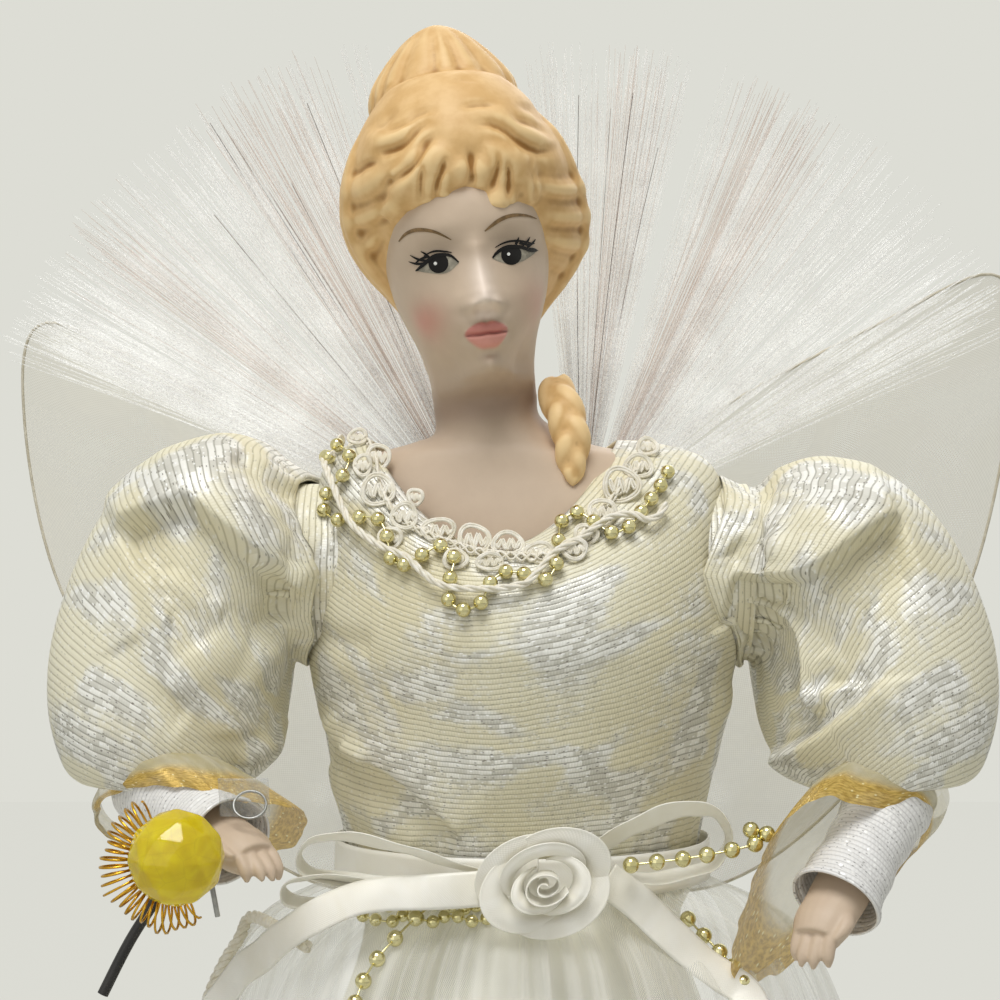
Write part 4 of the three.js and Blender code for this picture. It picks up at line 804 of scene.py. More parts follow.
def build_skin():
    def column(angle):
        plate = [oval(ring, angle) for ring in PLATE_RINGS]
        face = [TO_HEAD @ oval(ring, angle) for ring in FACE_RINGS]
        return plate + face

    columns = {}

    def place(u, v):
        key = round(u * SKIN_COLUMNS) % SKIN_COLUMNS
        if key not in columns:
            turn = 2 * math.pi * key / SKIN_COLUMNS
            columns[key] = column(turn - 0.55 * math.sin(turn) - math.pi / 2)
        return along(columns[key], v)

    bm = bent_grid(SKIN_COLUMNS, SKIN_ROWS, place, closed=True)
    bmesh.ops.holes_fill(bm, edges=bm.edges, sides=0)
    forward = TO_HEAD.to_3x3() @ Vector((0, -1, 0))
    sideways = TO_HEAD.to_3x3() @ Vector((1, 0, 0))
    colors = bm.verts.layers.float_color.new("paint")
    for vert in bm.verts:
        local = (FROM_HEAD @ vert.co) / MM
        front = ease(4, 12, -local.y)
        vert.co += forward * (front * face_rise(local.x, local.z) * MM * ease(14.0, 16.5, local.z))
        vert.co -= sideways * (JAW_TAPER * front * bell(local.z - 17.5, 5.0) * local.x * MM)
        color = SKIN.lerp(face_paint(local.x, local.z), front)
        # Painted shadow in a band round the neck, under the chin
        color = color.lerp(PAINTED_CHIN_SHADOW, 0.85 * bell(local.z - 11.5, 3.8))
        vert[colors] = (*color, 1.0)
    bmesh.ops.recalc_face_normals(bm, faces=bm.faces)
    return put("head_skin", bm, PORCELAIN)


head_skin = build_skin()
skin_tree = surface_tree(head_skin)


# Eyes, brows and lashes, painted where the photograph shows them
PAINT_LIFT = 0.04 * MM


def pairs(*values):
    """Pixels of the photograph, given as one row of across and down."""
    return [Vector(pair) for pair in zip(values[::2], values[1::2])]


def painted(columns, rows, pixel, lift, closed=False):
    """Patch of paint on the skin; pixel(u, v) is where the camera sees each of its points."""

    def place(u, v):
        point, normal = cast(skin_tree, *pixel(u, v), depth=-20 * MM)
        return point + normal * lift

    return bent_grid(columns, rows, place, closed=closed)


def stroke(route, widths, lift=2 * PAINT_LIFT):
    """Brush stroke along a route of pixels, with its widths in pixels."""

    def pixel(u, v):
        run = along(route, min(1, v + 0.02)) - along(route, max(0, v - 0.02))
        across = Vector((-run.y, run.x)).normalized()
        return along(route, v) + across * ((u - 0.5) * along(widths, v))

    return painted(2, 5 * (len(route) - 1), pixel, lift)


def spot(centre, radius, lift):
    """Round dot of paint."""

    def pixel(u, v):
        angle = 2 * math.pi * v
        return Vector(centre) + Vector((math.cos(angle), math.sin(angle))) * (u * radius)

    return painted(4, 28, pixel, lift, closed=True)


def almond(upper, lower, lift):
    """Patch between an upper and a lower lid."""
    return painted(20, 10, lambda u, v: along(lower, u).lerp(along(upper, u), v), lift)


LEFT_LID = pairs(
    416.4, 270.8, 422, 266.3, 428.5, 260.6, 434.8, 256.1, 443.8, 254.8, 451.4, 256.1, 459.1, 262.5,
)
RIGHT_LID = pairs(492.2, 258, 497.3, 252.3, 505, 247.8, 513.9, 246.6, 522.9, 247.8, 530.5, 251, 536.3, 251)
LEFT_LOWER_LID = pairs(417, 270.9, 428.5, 273, 440, 273.8, 449.5, 271.8, 458.8, 263.1)
RIGHT_LOWER_LID = pairs(492.6, 258.7, 500.5, 262.2, 511.4, 264, 522.3, 261.4, 533.7, 254.2)
LID_WIDTHS = [1.6, 3.2, 3.9, 3.7, 3.4, 2.6, 1.3]
LID_FOLDS = [
    pairs(424, 256.1, 431, 252.3, 437.4, 251, 446.3, 251.7, 452.1, 252.6),
    pairs(494.8, 247.8, 501.2, 244, 508.8, 241.5, 517.8, 240.8, 526.7, 242.1, 533.1, 244),
]
LASHES = [
    pairs(430.4, 258.9, 425.9, 254.2, 421.1, 251.3),
    pairs(426.6, 261.2, 418.3, 259.3, 410.4, 255.1),
    pairs(424, 263.8, 416.4, 263.8, 409.1, 261.6),
    pairs(429.1, 256.1, 420.8, 259.3, 414.4, 264.4),
    pairs(422, 266.3, 418.3, 269.5, 416.1, 271.2),
    pairs(515.2, 244.6, 517.2, 241, 518.4, 237),
    pairs(522.2, 245.3, 526.7, 241.5, 529.5, 237),
    pairs(526.7, 247.2, 531.8, 243.4, 535, 239.3),
    pairs(528.6, 249.1, 533.7, 249.3, 537.6, 251),
    pairs(519, 242.7, 526.7, 244.6, 534.3, 243.4),
]
LEFT_BROW = pairs(
    399.1, 241.5, 405.5, 234.4, 414.4, 230.4, 424.6, 230, 434.8, 231.9, 443.8, 235.7, 451.4, 239.8,
)
RIGHT_BROW = pairs(
    484.6, 231.3, 491, 226.1, 499.9, 219.8, 510.1, 215.9, 520.3, 215.1, 529.2, 216.3, 536.3, 218.9,
)
BROW_WIDTHS = [1.2, 3.0, 3.9, 3.7, 3.0, 2.1, 0.9]
IRISES = [((438.6, 263.2), 10.0), ((511.1, 254.8), 10.2)]
SPARKS = [((435.9, 263.8), 1.7), ((508.2, 254.5), 1.6)]


def build_eyes():
    whites = [
        almond(LEFT_LID, LEFT_LOWER_LID, PAINT_LIFT),
        almond(RIGHT_LID, RIGHT_LOWER_LID, PAINT_LIFT),
    ]
    lines = [stroke(LEFT_LID, LID_WIDTHS, 3 * PAINT_LIFT), stroke(RIGHT_LID, LID_WIDTHS, 3 * PAINT_LIFT)]
    lines += [stroke(fold, [0.8, 2.0, 2.0, 0.8], 3 * PAINT_LIFT) for fold in LID_FOLDS]
    lines += [stroke(lash, [2.7, 2.3, 0.6], 3 * PAINT_LIFT) for lash in LASHES]
    lines += [spot(centre, radius, 2 * PAINT_LIFT) for centre, radius in IRISES]
    brows = [stroke(LEFT_BROW, BROW_WIDTHS), stroke(RIGHT_BROW, BROW_WIDTHS)]
    sparks = [spot(centre, radius, 4 * PAINT_LIFT) for centre, radius in SPARKS]
    made = [
        put("eye_whites", gather(whites), EYE_WHITE_WITH_PAINTED_SHADE),
        put("eye_lines", gather(lines), LASH_PAINT),
        put("brows", gather(brows), BROW_PAINT),
        put("eye_sparks", gather(sparks), EYE_SPARK),
    ]


build_eyes()

# Folds and grooves, placed by the photograph's pixels
FOLD_LIMIT = 3.0  # in mm


def to_pixel(point):
    """Pixel of the photograph at which the camera sees a point."""
    step = PIXEL * (VIEW_DISTANCE + point.y) / VIEW_DISTANCE
    return Vector(((point.x - VIEW_X) / step, (VIEW_Z - point.z) / step)) + Vector((IMAGE / 2, IMAGE / 2))


def from_route(pixel, route):
    """Distance in mm from a route of pixels, plus below or left of it, and the share along it."""
    best = (1e9, 0.0, 0.0)
    for i, (a, b) in enumerate(zip(route, route[1:])):
        run = b - a
        t = min(max((pixel - a).dot(run) / run.length_squared, 0.0), 1.0)
        apart = pixel - a - run * t
        if apart.length < best[0]:
            best = (apart.length, run.x * apart.y - run.y * apart.x, (i + t) / (len(route) - 1))
    distance = best[0] * PIXEL / MM
    return (distance if best[1] > 0 else -distance), best[2]


def fold_rise(pixel, folds, fade):
    """Rise in mm at a pixel; a fold is a route, rise and width above, dip and width below, softness."""
    total = 0.0
    for (route, rise, above, dip, below, soft), (left, right, top, foot) in folds:
        if left < pixel.x < right and top < pixel.y < foot:
            apart, share = from_route(pixel, route)
            ends = ease(0, fade, share) * (1 - ease(1 - fade, 1, share))
            under = ease(-soft, soft, apart)
            total += ends * ((1 - under) * rise * bell(apart, above) - under * dip * bell(apart, below))
    return total


def fold_with_box(fold):
    """A fold with its route evened out, and the box of pixels that it reaches."""
    route = spaced(fold[0], 12)
    reach = 2.5 * max(fold[2], fold[4]) * MM / PIXEL
    across = [pixel.x for pixel in route]
    down = [pixel.y for pixel in route]
    box = (min(across) - reach, max(across) + reach, min(down) - reach, max(down) + reach)
    return (route, *fold[1:]), box


def sculpt(bm, folds, fade=0.1):
    """Pushes folds into the side of a form that the camera sees; fade is the share of each end."""
    ready = [fold_with_box(fold) for fold in folds]
    bm.normal_update()
    for vert in bm.verts:
        facing = ease(0.25, -0.25, vert.normal.y)
        if facing > 0:
            rise = fold_rise(to_pixel(vert.co), ready, fade)
            vert.co += vert.normal * (facing * min(max(rise, -FOLD_LIMIT), FOLD_LIMIT) * MM)


# Hair: moulded locks over a cap, bun and plait, run together as one casting
HAIR_RINGS = [
    (17, 8.5, -6, 13.5, 0),
    (22, 9.6, -5, 16.5, 0),
    (28, 11.6, -1, 19, 1.2),
    (33, 15, 6, 20.5, 2.2),
    (38, 18.6, 12, 21.4, 2.1),
    (43, 20.7, 15.5, 21.5, 1.2),
    (49, 20.8, 20.4, 21.5, 0.3),
    (56, 19.2, 21.8, 20.5, 0),
    (63, 16, 18.6, 18, 0),
    (69, 10.8, 12.8, 12.5, 0),
    (71, 5, 5, 6, 0),
]
BUN_RINGS = [
    (58, 9, 3, 15, 0),
    (65, 13.2, 7, 19, 0),
    (70, 13.2, 7.1, 19.4, 0),
    (74.3, 10.4, 4.6, 16.8, 0),
    (78.5, 6.6, 1, 12.6, 0),
    (80.8, 3.6, -1.6, 9.4, 0),
    (81.8, 0.4, -3.6, 4.4, 0),
]
BUN_RIDGES = 18


def lock_oval(ring, angle, swell=0.0):
    """Point of an oval on the head whose middle may lie behind the head's axis, in mm on the head."""
    z, x, front, back, shift = ring
    half = (front + back) / 2
    middle = (back - front) / 2
    return TO_HEAD @ mm(shift + (x + swell) * math.cos(angle), middle + (half + swell) * math.sin(angle), z)


def hair_cap():
    def place(u, v):
        return along([lock_oval(ring, 2 * math.pi * u) for ring in HAIR_RINGS], v)

    bm = bent_grid(48, 40, place, closed=True)
    close_ends(bm)
    return bm


def bun():
    def place(u, v):
        angle = 2 * math.pi * u
        wander = BUN_RIDGES * angle + 1.6 * math.sin(2 * angle) + 1.1 * math.sin(5 * angle + 1)
        ridge = abs(math.sin(wander / 2)) ** 0.6 * math.sin(math.pi * min(1, v * 1.05))
        return along([lock_oval(ring, angle, 1.2 * ridge - 0.6) for ring in BUN_RINGS], v)

    bm = bent_grid(144, 40, place, closed=True)
    close_ends(bm)
    return bm


# Relief that the photograph shows on the hair, in its pixels: two rolls over the forehead and their tufts
FRINGE_ROLLS = [
    pairs(389, 205, 401, 187, 417, 171, 435, 162, 452, 157, 465, 151),
    pairs(476, 150, 488, 157, 506, 164, 523, 173, 540, 191),
]
FRINGE_TUFTS = [
    pairs(430, 156, 418, 168, 402, 192, 387, 219),
    pairs(434, 160, 424, 175, 409, 208),
    pairs(440, 160, 433, 176, 425, 201),
    pairs(450, 158, 445, 174, 438, 198),
    pairs(461, 154, 459, 168, 451, 186),
    pairs(480, 154, 481, 172, 480, 190),
    pairs(490, 158, 497, 176, 500, 208),
    pairs(500, 160, 506, 178, 508, 203),
    pairs(510, 163, 518, 178, 519, 194),
    pairs(520, 168, 529, 182, 532, 204),
]
# Sizes in mm: radii along a lock, and how deep its middle is sunk
ROLL_RADII = [2.4, 3.9, 4.2, 3.9, 2.4]
ROLL_SUNK = 2.7
TUFT_RADIUS = 2.8
TUFT_TAPER = [0.5, 0.8, 1.0, 1.0, 0.92, 0.74]
TUFT_SUNK = 1.35
NAPE_LOCKS = 15
NAPE_RADIUS = 2.6
NAPE_TAPER = [0.15, 0.6, 0.9, 1.0, 1.0, 0.8, 0.2]
NAPE_SUNK = 1.1
# Grooves between the locks, with their depth and half width in mm
HAIR_GROOVES = [
    (pairs(446, 112, 432, 110, 423, 112, 415, 116, 408, 122, 395, 129, 374, 134), 0.55, 0.8),
    (pairs(440, 124, 426, 124, 418, 128, 411, 136, 403, 144, 391, 150, 366, 157), 1.15, 1.0),
    (pairs(449, 131, 434, 136, 427, 141, 420, 152, 414, 163, 405, 172, 393, 180, 372, 190), 1.0, 1.0),
    (pairs(400, 106, 388, 117, 381, 124, 366, 134), 0.6, 0.9),
    (pairs(384, 160, 366, 165, 358, 171, 346, 182), 0.7, 0.9),
    (pairs(396, 182, 386, 190, 378, 198, 369, 203, 357, 207, 336, 210), 0.82, 1.7),
    (pairs(394, 206, 387, 214, 380, 225, 370, 231, 359, 234, 340, 238), 0.82, 1.7),
    (pairs(388, 228, 382, 240, 376, 253, 364, 264), 0.75, 1.4),
    (pairs(454, 108, 471, 105, 483, 104, 504, 106), 0.5, 0.7),
    (pairs(464, 127, 481, 123, 492, 123, 504, 128, 517, 138, 529, 146, 541, 151, 566, 147), 1.2, 1.0),
    (pairs(504, 108, 517, 119, 529, 123, 543, 129, 560, 142), 0.8, 0.9),
    (pairs(512, 104, 531, 108, 541, 116, 556, 130), 0.7, 0.8),
    (pairs(450, 80, 466, 78, 484, 80), 0.35, 0.7),
    (pairs(522, 156, 531, 166, 541, 174, 555, 178, 572, 176, 592, 170), 0.75, 1.7),
    (pairs(536, 186, 543, 195, 553, 201, 568, 202, 584, 200, 600, 196), 0.75, 1.7),
    (pairs(540, 214, 546, 224, 555, 230, 572, 230, 587, 230, 602, 228), 0.75, 1.5),
    (pairs(542, 238, 548, 246, 558, 253, 572, 256, 590, 256), 0.68, 1.4),
    (pairs(544, 262, 552, 272, 564, 277, 580, 277), 0.5, 1.3),
    (pairs(447, 150, 443, 168, 437, 184, 434, 206), 0.7, 0.6),
    (pairs(426, 156, 421, 172, 420, 188, 421, 206), 0.6, 0.6),
    (pairs(469, 142, 471, 158, 472, 172, 473, 196), 0.5, 0.7),
    (pairs(494, 146, 499, 158, 497, 175, 488, 196), 0.6, 0.6),
    (pairs(506, 155, 509, 168, 510, 182, 509, 204), 0.7, 0.6),
    (pairs(530, 166, 536, 180, 537, 194, 534, 210), 0.6, 0.7),
]
# Swells of the locks at the sides
HAIR_SWELLS = [
    pairs(400, 168, 386, 176, 370, 187, 350, 197, 336, 200),
    pairs(392, 196, 382, 207, 366, 216, 346, 223, 334, 226),
    pairs(386, 222, 378, 233, 366, 244, 350, 252),
    pairs(528, 164, 548, 184, 565, 190, 588, 187, 602, 184),
    pairs(538, 200, 552, 214, 570, 217, 592, 214, 604, 212),
    pairs(542, 228, 554, 241, 572, 244, 592, 243, 604, 242),
    pairs(430, 117, 412, 128, 398, 139, 376, 144, 356, 156),
    pairs(478, 116, 500, 118, 520, 131, 540, 141, 562, 142),
]
SWELL_RISE = 0.7
SWELL_WIDTH = 2.2
RELIEF_SOFTNESS = 0.3


def hair_locks(cap_tree):
    def laid(route, count, sunk):
        """Points of a lock, sunk below the hair or the forehead, whichever lies nearer the camera."""
        points = []
        for pixel in spaced(route, count):
            seats = [cast(cap_tree, *pixel, depth=-4 * MM), cast(skin_tree, *pixel, depth=-20 * MM)]
            seat, normal = min(seats, key=lambda pair: pair[0].y)
            points.append(seat - normal * (sunk * MM))
        return points

    made = []
    for route in FRINGE_ROLLS:
        made.append(tube(laid(route, 16, ROLL_SUNK), [r * MM for r in ROLL_RADII], 16, 40))
    for route in FRINGE_TUFTS:
        radii = [TUFT_RADIUS * share * MM for share in TUFT_TAPER]
        made.append(tube(laid(route, 9, TUFT_SUNK), radii, 12, 24))
    for k in range(NAPE_LOCKS):
        start = math.radians(-8 + 196 * k / (NAPE_LOCKS - 1))
        points = []
        for i in range(9):
            t = 0.04 + 0.1 * i
            angle = start + 0.1 * math.sin(5.5 * t + 2.1 * k)
            points.append(along([lock_oval(ring, angle, -NAPE_SUNK) for ring in HAIR_RINGS], t))
        radii = [NAPE_RADIUS * share * MM for share in NAPE_TAPER]
        made.append(tube(points, radii, 12, 24, up=Vector((0, 1, 0.2))))
    return made


PLAIT_ROUTE = [
    mm(5.5, -3.5, 301), mm(7, -9, 297), mm(8.4, -11.6, 292), mm(8.6, -12.9, 286.5), mm(8.8, -14.4, 283),
]
# Half width of the plait and radius of its strands along it, in mm
PLAIT_WIDTH = [1.5, 1.6, 1.6, 1.5, 1.0, 0.3]
PLAIT_STRAND = [2.0, 2.2, 2.1, 1.9, 1.3, 0.2]
PLAIT_TURNS = 1.35


def plait():
    """Three strands laid over each other."""
    made = []
    radii = [r * MM for r in PLAIT_STRAND]
    for strand in range(3):
        points = []
        for i in range(33):
            t = i / 32
            phase = 2 * math.pi * (PLAIT_TURNS * t + strand / 3)
            out, side = cross_frame(PLAIT_ROUTE, t, Vector((0, -1, 0)))
            width = along(PLAIT_WIDTH, t) * MM
            place = along(PLAIT_ROUTE, t) + side * (width * math.sin(phase))
            points.append(place + out * (0.45 * width * math.sin(2 * phase)))
        made.append(tube(points, radii, 12, 48))
    return made


def mark_hollows(obj, rounds, depth):
    """Stores on each point how deep it lies in a hollow, as an attribute."""
    bm = bmesh.new()
    bm.from_mesh(obj.data)
    start = [(vert.co.copy(), vert.normal.copy()) for vert in bm.verts]
    rub_smooth(bm, rounds)
    bm.verts.ensure_lookup_table()
    depths = [(vert.co - place).dot(normal) / depth for vert, (place, normal) in zip(bm.verts, start)]
    bm.free()
    obj.data.attributes.new("hollow", "FLOAT", "POINT").data.foreach_set("value", depths)


def build_hair():
    cap = put("hair", hair_cap(), HAIR)
    cap_tree = surface_tree(cap)
    whole = gather([hair_cap(), bun(), *hair_locks(cap_tree), *plait()])
    whole.to_mesh(cap.data)
    whole.free()
    modify(cap, "REMESH", mode="VOXEL", voxel_size=0.42 * MM)
    modify(cap, "SMOOTH", factor=0.5, iterations=9)
    apply_modifiers(cap)
    bm = bmesh.new()
    bm.from_mesh(cap.data)
    relief = []
    for route in HAIR_SWELLS:
        relief.append((route, SWELL_RISE, SWELL_WIDTH, -SWELL_RISE, SWELL_WIDTH, RELIEF_SOFTNESS))
    for route, deep, wide in HAIR_GROOVES:
        relief.append((route, -deep, wide, deep, wide, RELIEF_SOFTNESS))
    sculpt(bm, relief, fade=0.4)
    rub_smooth(bm, 2)
    bm.to_mesh(cap.data)
    bm.free()
    # How deep each point lies, which the hair's finish turns into painted shade and highlight
    mark_hollows(cap, 14, 0.26 * MM)
    return cap


hair = build_hair()
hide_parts("porcelain_head")


# Cloth
BROCADE_THICKNESS = 0.5 * MM


def lofted(columns, rows, column, flat):
    """Cloth through rings: column(u) is the row of points up the form at u round it."""
    kept = {}

    def place(u, v):
        key = round(u * columns)
        if key not in kept:
            kept[key] = spaced(column(u), rows)
        return kept[key][round(v * rows)]

    return bent_grid(columns, rows, place, flat, closed=True)


# Bodice: rings up from the waist, as for an oval, and how far each drops at the back, in mm
BODICE_RINGS = [
    (0, 31.6, 23, 21, 0, 0),
    (5, 32, 24, 21.5, 0, 0),
    (23, 35.96, 28.5, 23, 0, 0),
    (38, 38.6, 31, 24, 0, 0),
    (51, 38.2, 29.5, 24, 0, 4),
    (63, 37.1, 26.5, 22.5, 0, 11),
    (71, 34, 23.5, 19, -1, 16.5),
    (74, 27, 21.8, 16, -3, 18.6),
    (74.5, 22, 20.5, 14, -5, 18.9),
]
BACK_DROP = [0, 0, 0, 0, 0, 2, 6, 8, 8.5]
BODICE_FLAT = (0.226, 0.08)
BODICE_FOLDS = [
    (pairs(318, 712, 330, 735, 352, 755, 390, 775, 432, 809, 464, 843), 1.3, 6, 1.1, 4, 0.9),
    (pairs(322, 762, 345, 790, 380, 822, 420, 850), 0.9, 2.6, -0.9, 2.6, 0.5),
    (pairs(345, 745, 358, 752, 370, 762), 0.9, 1.6, -0.9, 1.6, 0.4),
    (pairs(304, 628, 330, 640, 372, 646), -0.8, 2.4, 0.8, 2.4, 0.5),
    (pairs(420, 650, 520, 668, 640, 660), 0.5, 9, 0.0, 9, 3),
    (pairs(470, 775, 560, 768, 660, 772), 0.45, 5, -0.45, 5, 1),
    (pairs(700, 770, 715, 720, 742, 690), 0.8, 2.2, -0.8, 2.2, 0.5),
    (pairs(718, 625, 735, 640, 752, 650), 1.2, 2.4, -1.2, 2.4, 0.6),
]


def build_bodice():
    def column(u):
        angle = 2 * math.pi * u + math.pi / 2
        points = []
        for i, ring in enumerate(BODICE_RINGS):
            z, x, front, back, shift, drop = ring
            gather_depth = 0.35 * math.cos(46 * angle) * bell(i, 1.2)
            ring = (WAIST + z, x + gather_depth, front + gather_depth, back + gather_depth, shift, drop)
            lower = BACK_DROP[i] * max(0.0, math.sin(angle)) ** 2
            points.append(oval(ring, angle) - mm(0, 0, lower))
        return points

    bm = lofted(240, 110, column, BODICE_FLAT)
    sculpt(bm, BODICE_FOLDS)
    made = put("bodice_cloth", bm, BROCADE)
    modify(made, "SOLIDIFY", thickness=BROCADE_THICKNESS, offset=-1.0)
    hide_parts("bodice")
    return made


bodice_cloth = build_bodice()
bodice_tree = surface_tree(bodice_cloth)

# Puff sleeves, in mm
SHOULDER_X = 39.6
SHOULDER_Z = WAIST + 51
ELBOW = (65.6, -15.5, 233)
# Rings down a sleeve: inner end across and up, outer end across and up, middle's depth, half depth
SLEEVE_RINGS = [
    (40.6, 251.8, 41.6, 287.2, -0.3, 18),
    (41.2, 250, 46.5, 291, -0.6, 20),
    (41.4, 247, 55, 292.3, -1.2, 21.8),
    (41.6, 243.5, 66.5, 287, -2.4, 22.8),
    (42, 239.8, 75.5, 275.5, -4.2, 22.8),
    (43.5, 236, 81.3, 260, -7, 22),
    (47, 232.6, 82.4, 246.5, -10, 19.6),
    (51.8, 230.6, 79.6, 236, -13, 15.2),
    (55.6, 231.6, 75.6, 232.4, -15.5, 10),
    (60, 232.8, 71.2, 233.2, -15.8, 5.6),
    (64.6, 234, 66.6, 234, -16, 1),
]
SLEEVE_DROP = {-1: 0.0, 1: 4.5}
SLEEVE_FLAT = (0.135, 0.085)
LEFT_SLEEVE_FOLDS = [
    (
        pairs(112, 536, 134, 524, 162, 513, 187, 507, 215, 528, 246, 552, 277, 577, 312, 602),
        2.6, 8, 4.6, 15, 1.3,
    ),
    (pairs(232, 452, 243, 462, 262, 478, 285, 493, 309, 505), -1.6, 1.8, 1.2, 2.6, 0.6),
    (pairs(140, 574, 168, 578, 200, 598, 232, 612), 0.9, 2, -0.9, 2.6, 0.6),
    (pairs(240, 770, 262, 755, 285, 742, 300, 722), 1.6, 3, -1.6, 2.4, 0.7),
    (pairs(170, 700, 200, 672, 240, 650, 290, 660), 1.0, 4, -1.0, 5, 1.2),
    (pairs(200, 640, 228, 690, 236, 740), 0.8, 4, -0.8, 4, 1.0),
    (pairs(120, 640, 150, 690, 190, 720), -0.9, 4, 0.9, 4, 1.0),
    (pairs(150, 470, 200, 478, 250, 505, 296, 545), 0.8, 3.5, -0.8, 3.5, 1.0),
]
RIGHT_SLEEVE_FOLDS = [
    (pairs(730, 574, 756, 580, 793, 581, 827, 566, 857, 545, 880, 530, 905, 520), 3.0, 9, 4.8, 12, 1.2),
    (pairs(729, 520, 746, 510, 766, 520, 778, 540, 768, 556), 1.2, 2.4, -1.2, 2.4, 0.6),
    (pairs(730, 545, 742, 560, 752, 570), -1.8, 2.4, 1.8, 2.4, 0.6),
    (pairs(735, 604, 765, 616, 786, 634, 798, 662, 801, 693, 814, 722), 3.0, 3.6, 3.4, 7, 1.0),
    (pairs(828, 596, 842, 640, 850, 690), -2.4, 8, 2.4, 8, 2.0),
    (pairs(742, 764, 780, 750, 812, 736, 857, 703, 880, 676), -1.8, 5, -2.2, 6, 1.4),
    (pairs(820, 650, 838, 668, 850, 690), 0.8, 2, -0.8, 2, 0.6),
    (pairs(770, 500, 810, 515, 850, 508), 0.8, 4, -0.8, 4, 1.0),
]
ARM_SWING = 35  # in degrees
# Radii round the shoulder: the sleeve's edge, turned in, and the bodice's armhole inside it
SLEEVE_LINING = (16.2, 17.2)
ARMHOLE = 15.6
EDGE_CLEARANCE = 0.4
# Bearing of the bead string's end beside the left sleeve, the room that it needs and how far round
BEADS_AT = math.radians(140)
BEAD_ROOM = 4.8
BEAD_SPREAD = 0.44


def sleeve_edge(side, start, radius):
    """Point on the bodice's side at a bearing round the shoulder, clear of it wherever the arm swings."""
    outmost = 0.0
    clear = EDGE_CLEARANCE
    for swing in range(0, ARM_SWING + 1, 5):
        turn = start - math.radians(swing)
        if side < 0:
            clear = max(clear, BEAD_ROOM * bell(math.sin((turn - BEADS_AT) / 2), BEAD_SPREAD))
        eye = mm(side * 80, radius * math.cos(turn), SHOULDER_Z + radius * math.sin(turn))
        place, *_ = bodice_tree.ray_cast(eye, Vector((-side, 0, 0)))
        if place is not None:
            outmost = max(outmost, abs(place.x))
    x = min(outmost / MM + clear, SHOULDER_X) if outmost else SHOULDER_X
    return mm(side * x, radius * math.cos(start), SHOULDER_Z + radius * math.sin(start))


def build_sleeve(name, side, folds):
    def column(u):
        angle = 2 * math.pi * u + math.pi
        points = []
        for i, (inner, inner_up, outer, outer_up, depth, half) in enumerate(SLEEVE_RINGS):
            v = i / (len(SLEEVE_RINGS) - 1)
            outer_up -= SLEEVE_DROP[side] * (1 - ease(0.1, 0.6, v))
            middle = Vector(((inner + outer) / 2, depth, (inner_up + outer_up) / 2))
            top = bell(v, 0.1) * (0.014 * math.cos(23 * angle) + 0.01 * math.cos(14 * angle + 1))
            foot = bell(v - 1, 0.14) * (0.06 * math.cos(19 * angle) + 0.03 * math.cos(11 * angle + 2))
            slack = 0.02 * math.sin(3 * angle + 5 * v) * math.sin(math.pi * v)
            size = 1 + top + foot + slack
            reach_out = Vector((outer - inner, 0, outer_up - inner_up)) * (0.5 * size * math.cos(angle))
            place = middle + reach_out + Vector((0, half * size * math.sin(angle), 0))
            points.append(mm(side * place.x, place.y, place.z))
        bearing = math.atan2(math.cos(angle), math.sin(angle))
        return [sleeve_edge(side, bearing, radius) for radius in SLEEVE_LINING] + points

    bm = lofted(230, 160, column, SLEEVE_FLAT)
    sculpt(bm, folds)
    made = put(name + "_cloth", bm, BROCADE, side_body(side))
    modify(made, "SOLIDIFY", thickness=BROCADE_THICKNESS, offset=-1.0)
    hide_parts(name)


def build_armhole(name, side):
    """Short sleeve of cloth on the bodice's side, inside the puff."""

    def place(u, v):
        angle = 2 * math.pi * u
        x = 30 + (SHOULDER_X - 29.4) * v
        return mm(side * x, ARMHOLE * math.cos(angle), SHOULDER_Z + ARMHOLE * math.sin(angle))

    made = put(name, bent_grid(64, 6, place, (0.098, 0.0102), True), BROCADE)


def side_body(side):
    return "left_arm" if side < 0 else "right_arm"


build_sleeve("left_sleeve", -1, LEFT_SLEEVE_FOLDS)
build_sleeve("right_sleeve", 1, RIGHT_SLEEVE_FOLDS)
build_armhole("left_armhole", -1)
build_armhole("right_armhole", 1)

# Forearms: gold-edged frill, silver cuff and bisque hand, out from the elbow
FOREARMS = {-1: Vector((0.6, -0.76, -0.24)).normalized(), 1: Vector((-0.5, -0.62, -0.6)).normalized()}
# Rim of each frill, round from its outer end over the top: pixel across and down, depth in mm
FRILL_RIMS = {
    -1: [
        (100, 806, -22), (125, 790, -27), (160, 786, -32), (200, 790, -36), (231, 801, -38), (256, 803, -38),
        (283, 806, -36), (304, 812, -31), (302, 836, -24), (272, 856, -18), (220, 866, -14), (150, 856, -13),
        (108, 832, -17),
    ],
    1: [
        (918, 806, -24), (874, 808, -30), (826, 797, -34), (795, 812, -36), (772, 838, -37), (757, 870, -37),
        (744, 908, -36), (732, 952, -34), (738, 985, -31), (774, 975, -22), (822, 940, -15), (874, 896, -12),
        (916, 850, -15),
    ],
}
FRILL_START = 8.8
FRILL_FLAT = (0.1, 0.0185)


def reach(side, distance):
    """Point out along a forearm, in mm beyond the elbow."""
    return mm(side * ELBOW[0], ELBOW[1], ELBOW[2]) + FOREARMS[side] * (distance * MM)


def forearm_frame(side):
    """Directions across a forearm: upwards and sideways."""
    run = FOREARMS[side]
    up = (Vector((0, 0, 1)) - run * run.z).normalized()
    return up, run.cross(up)


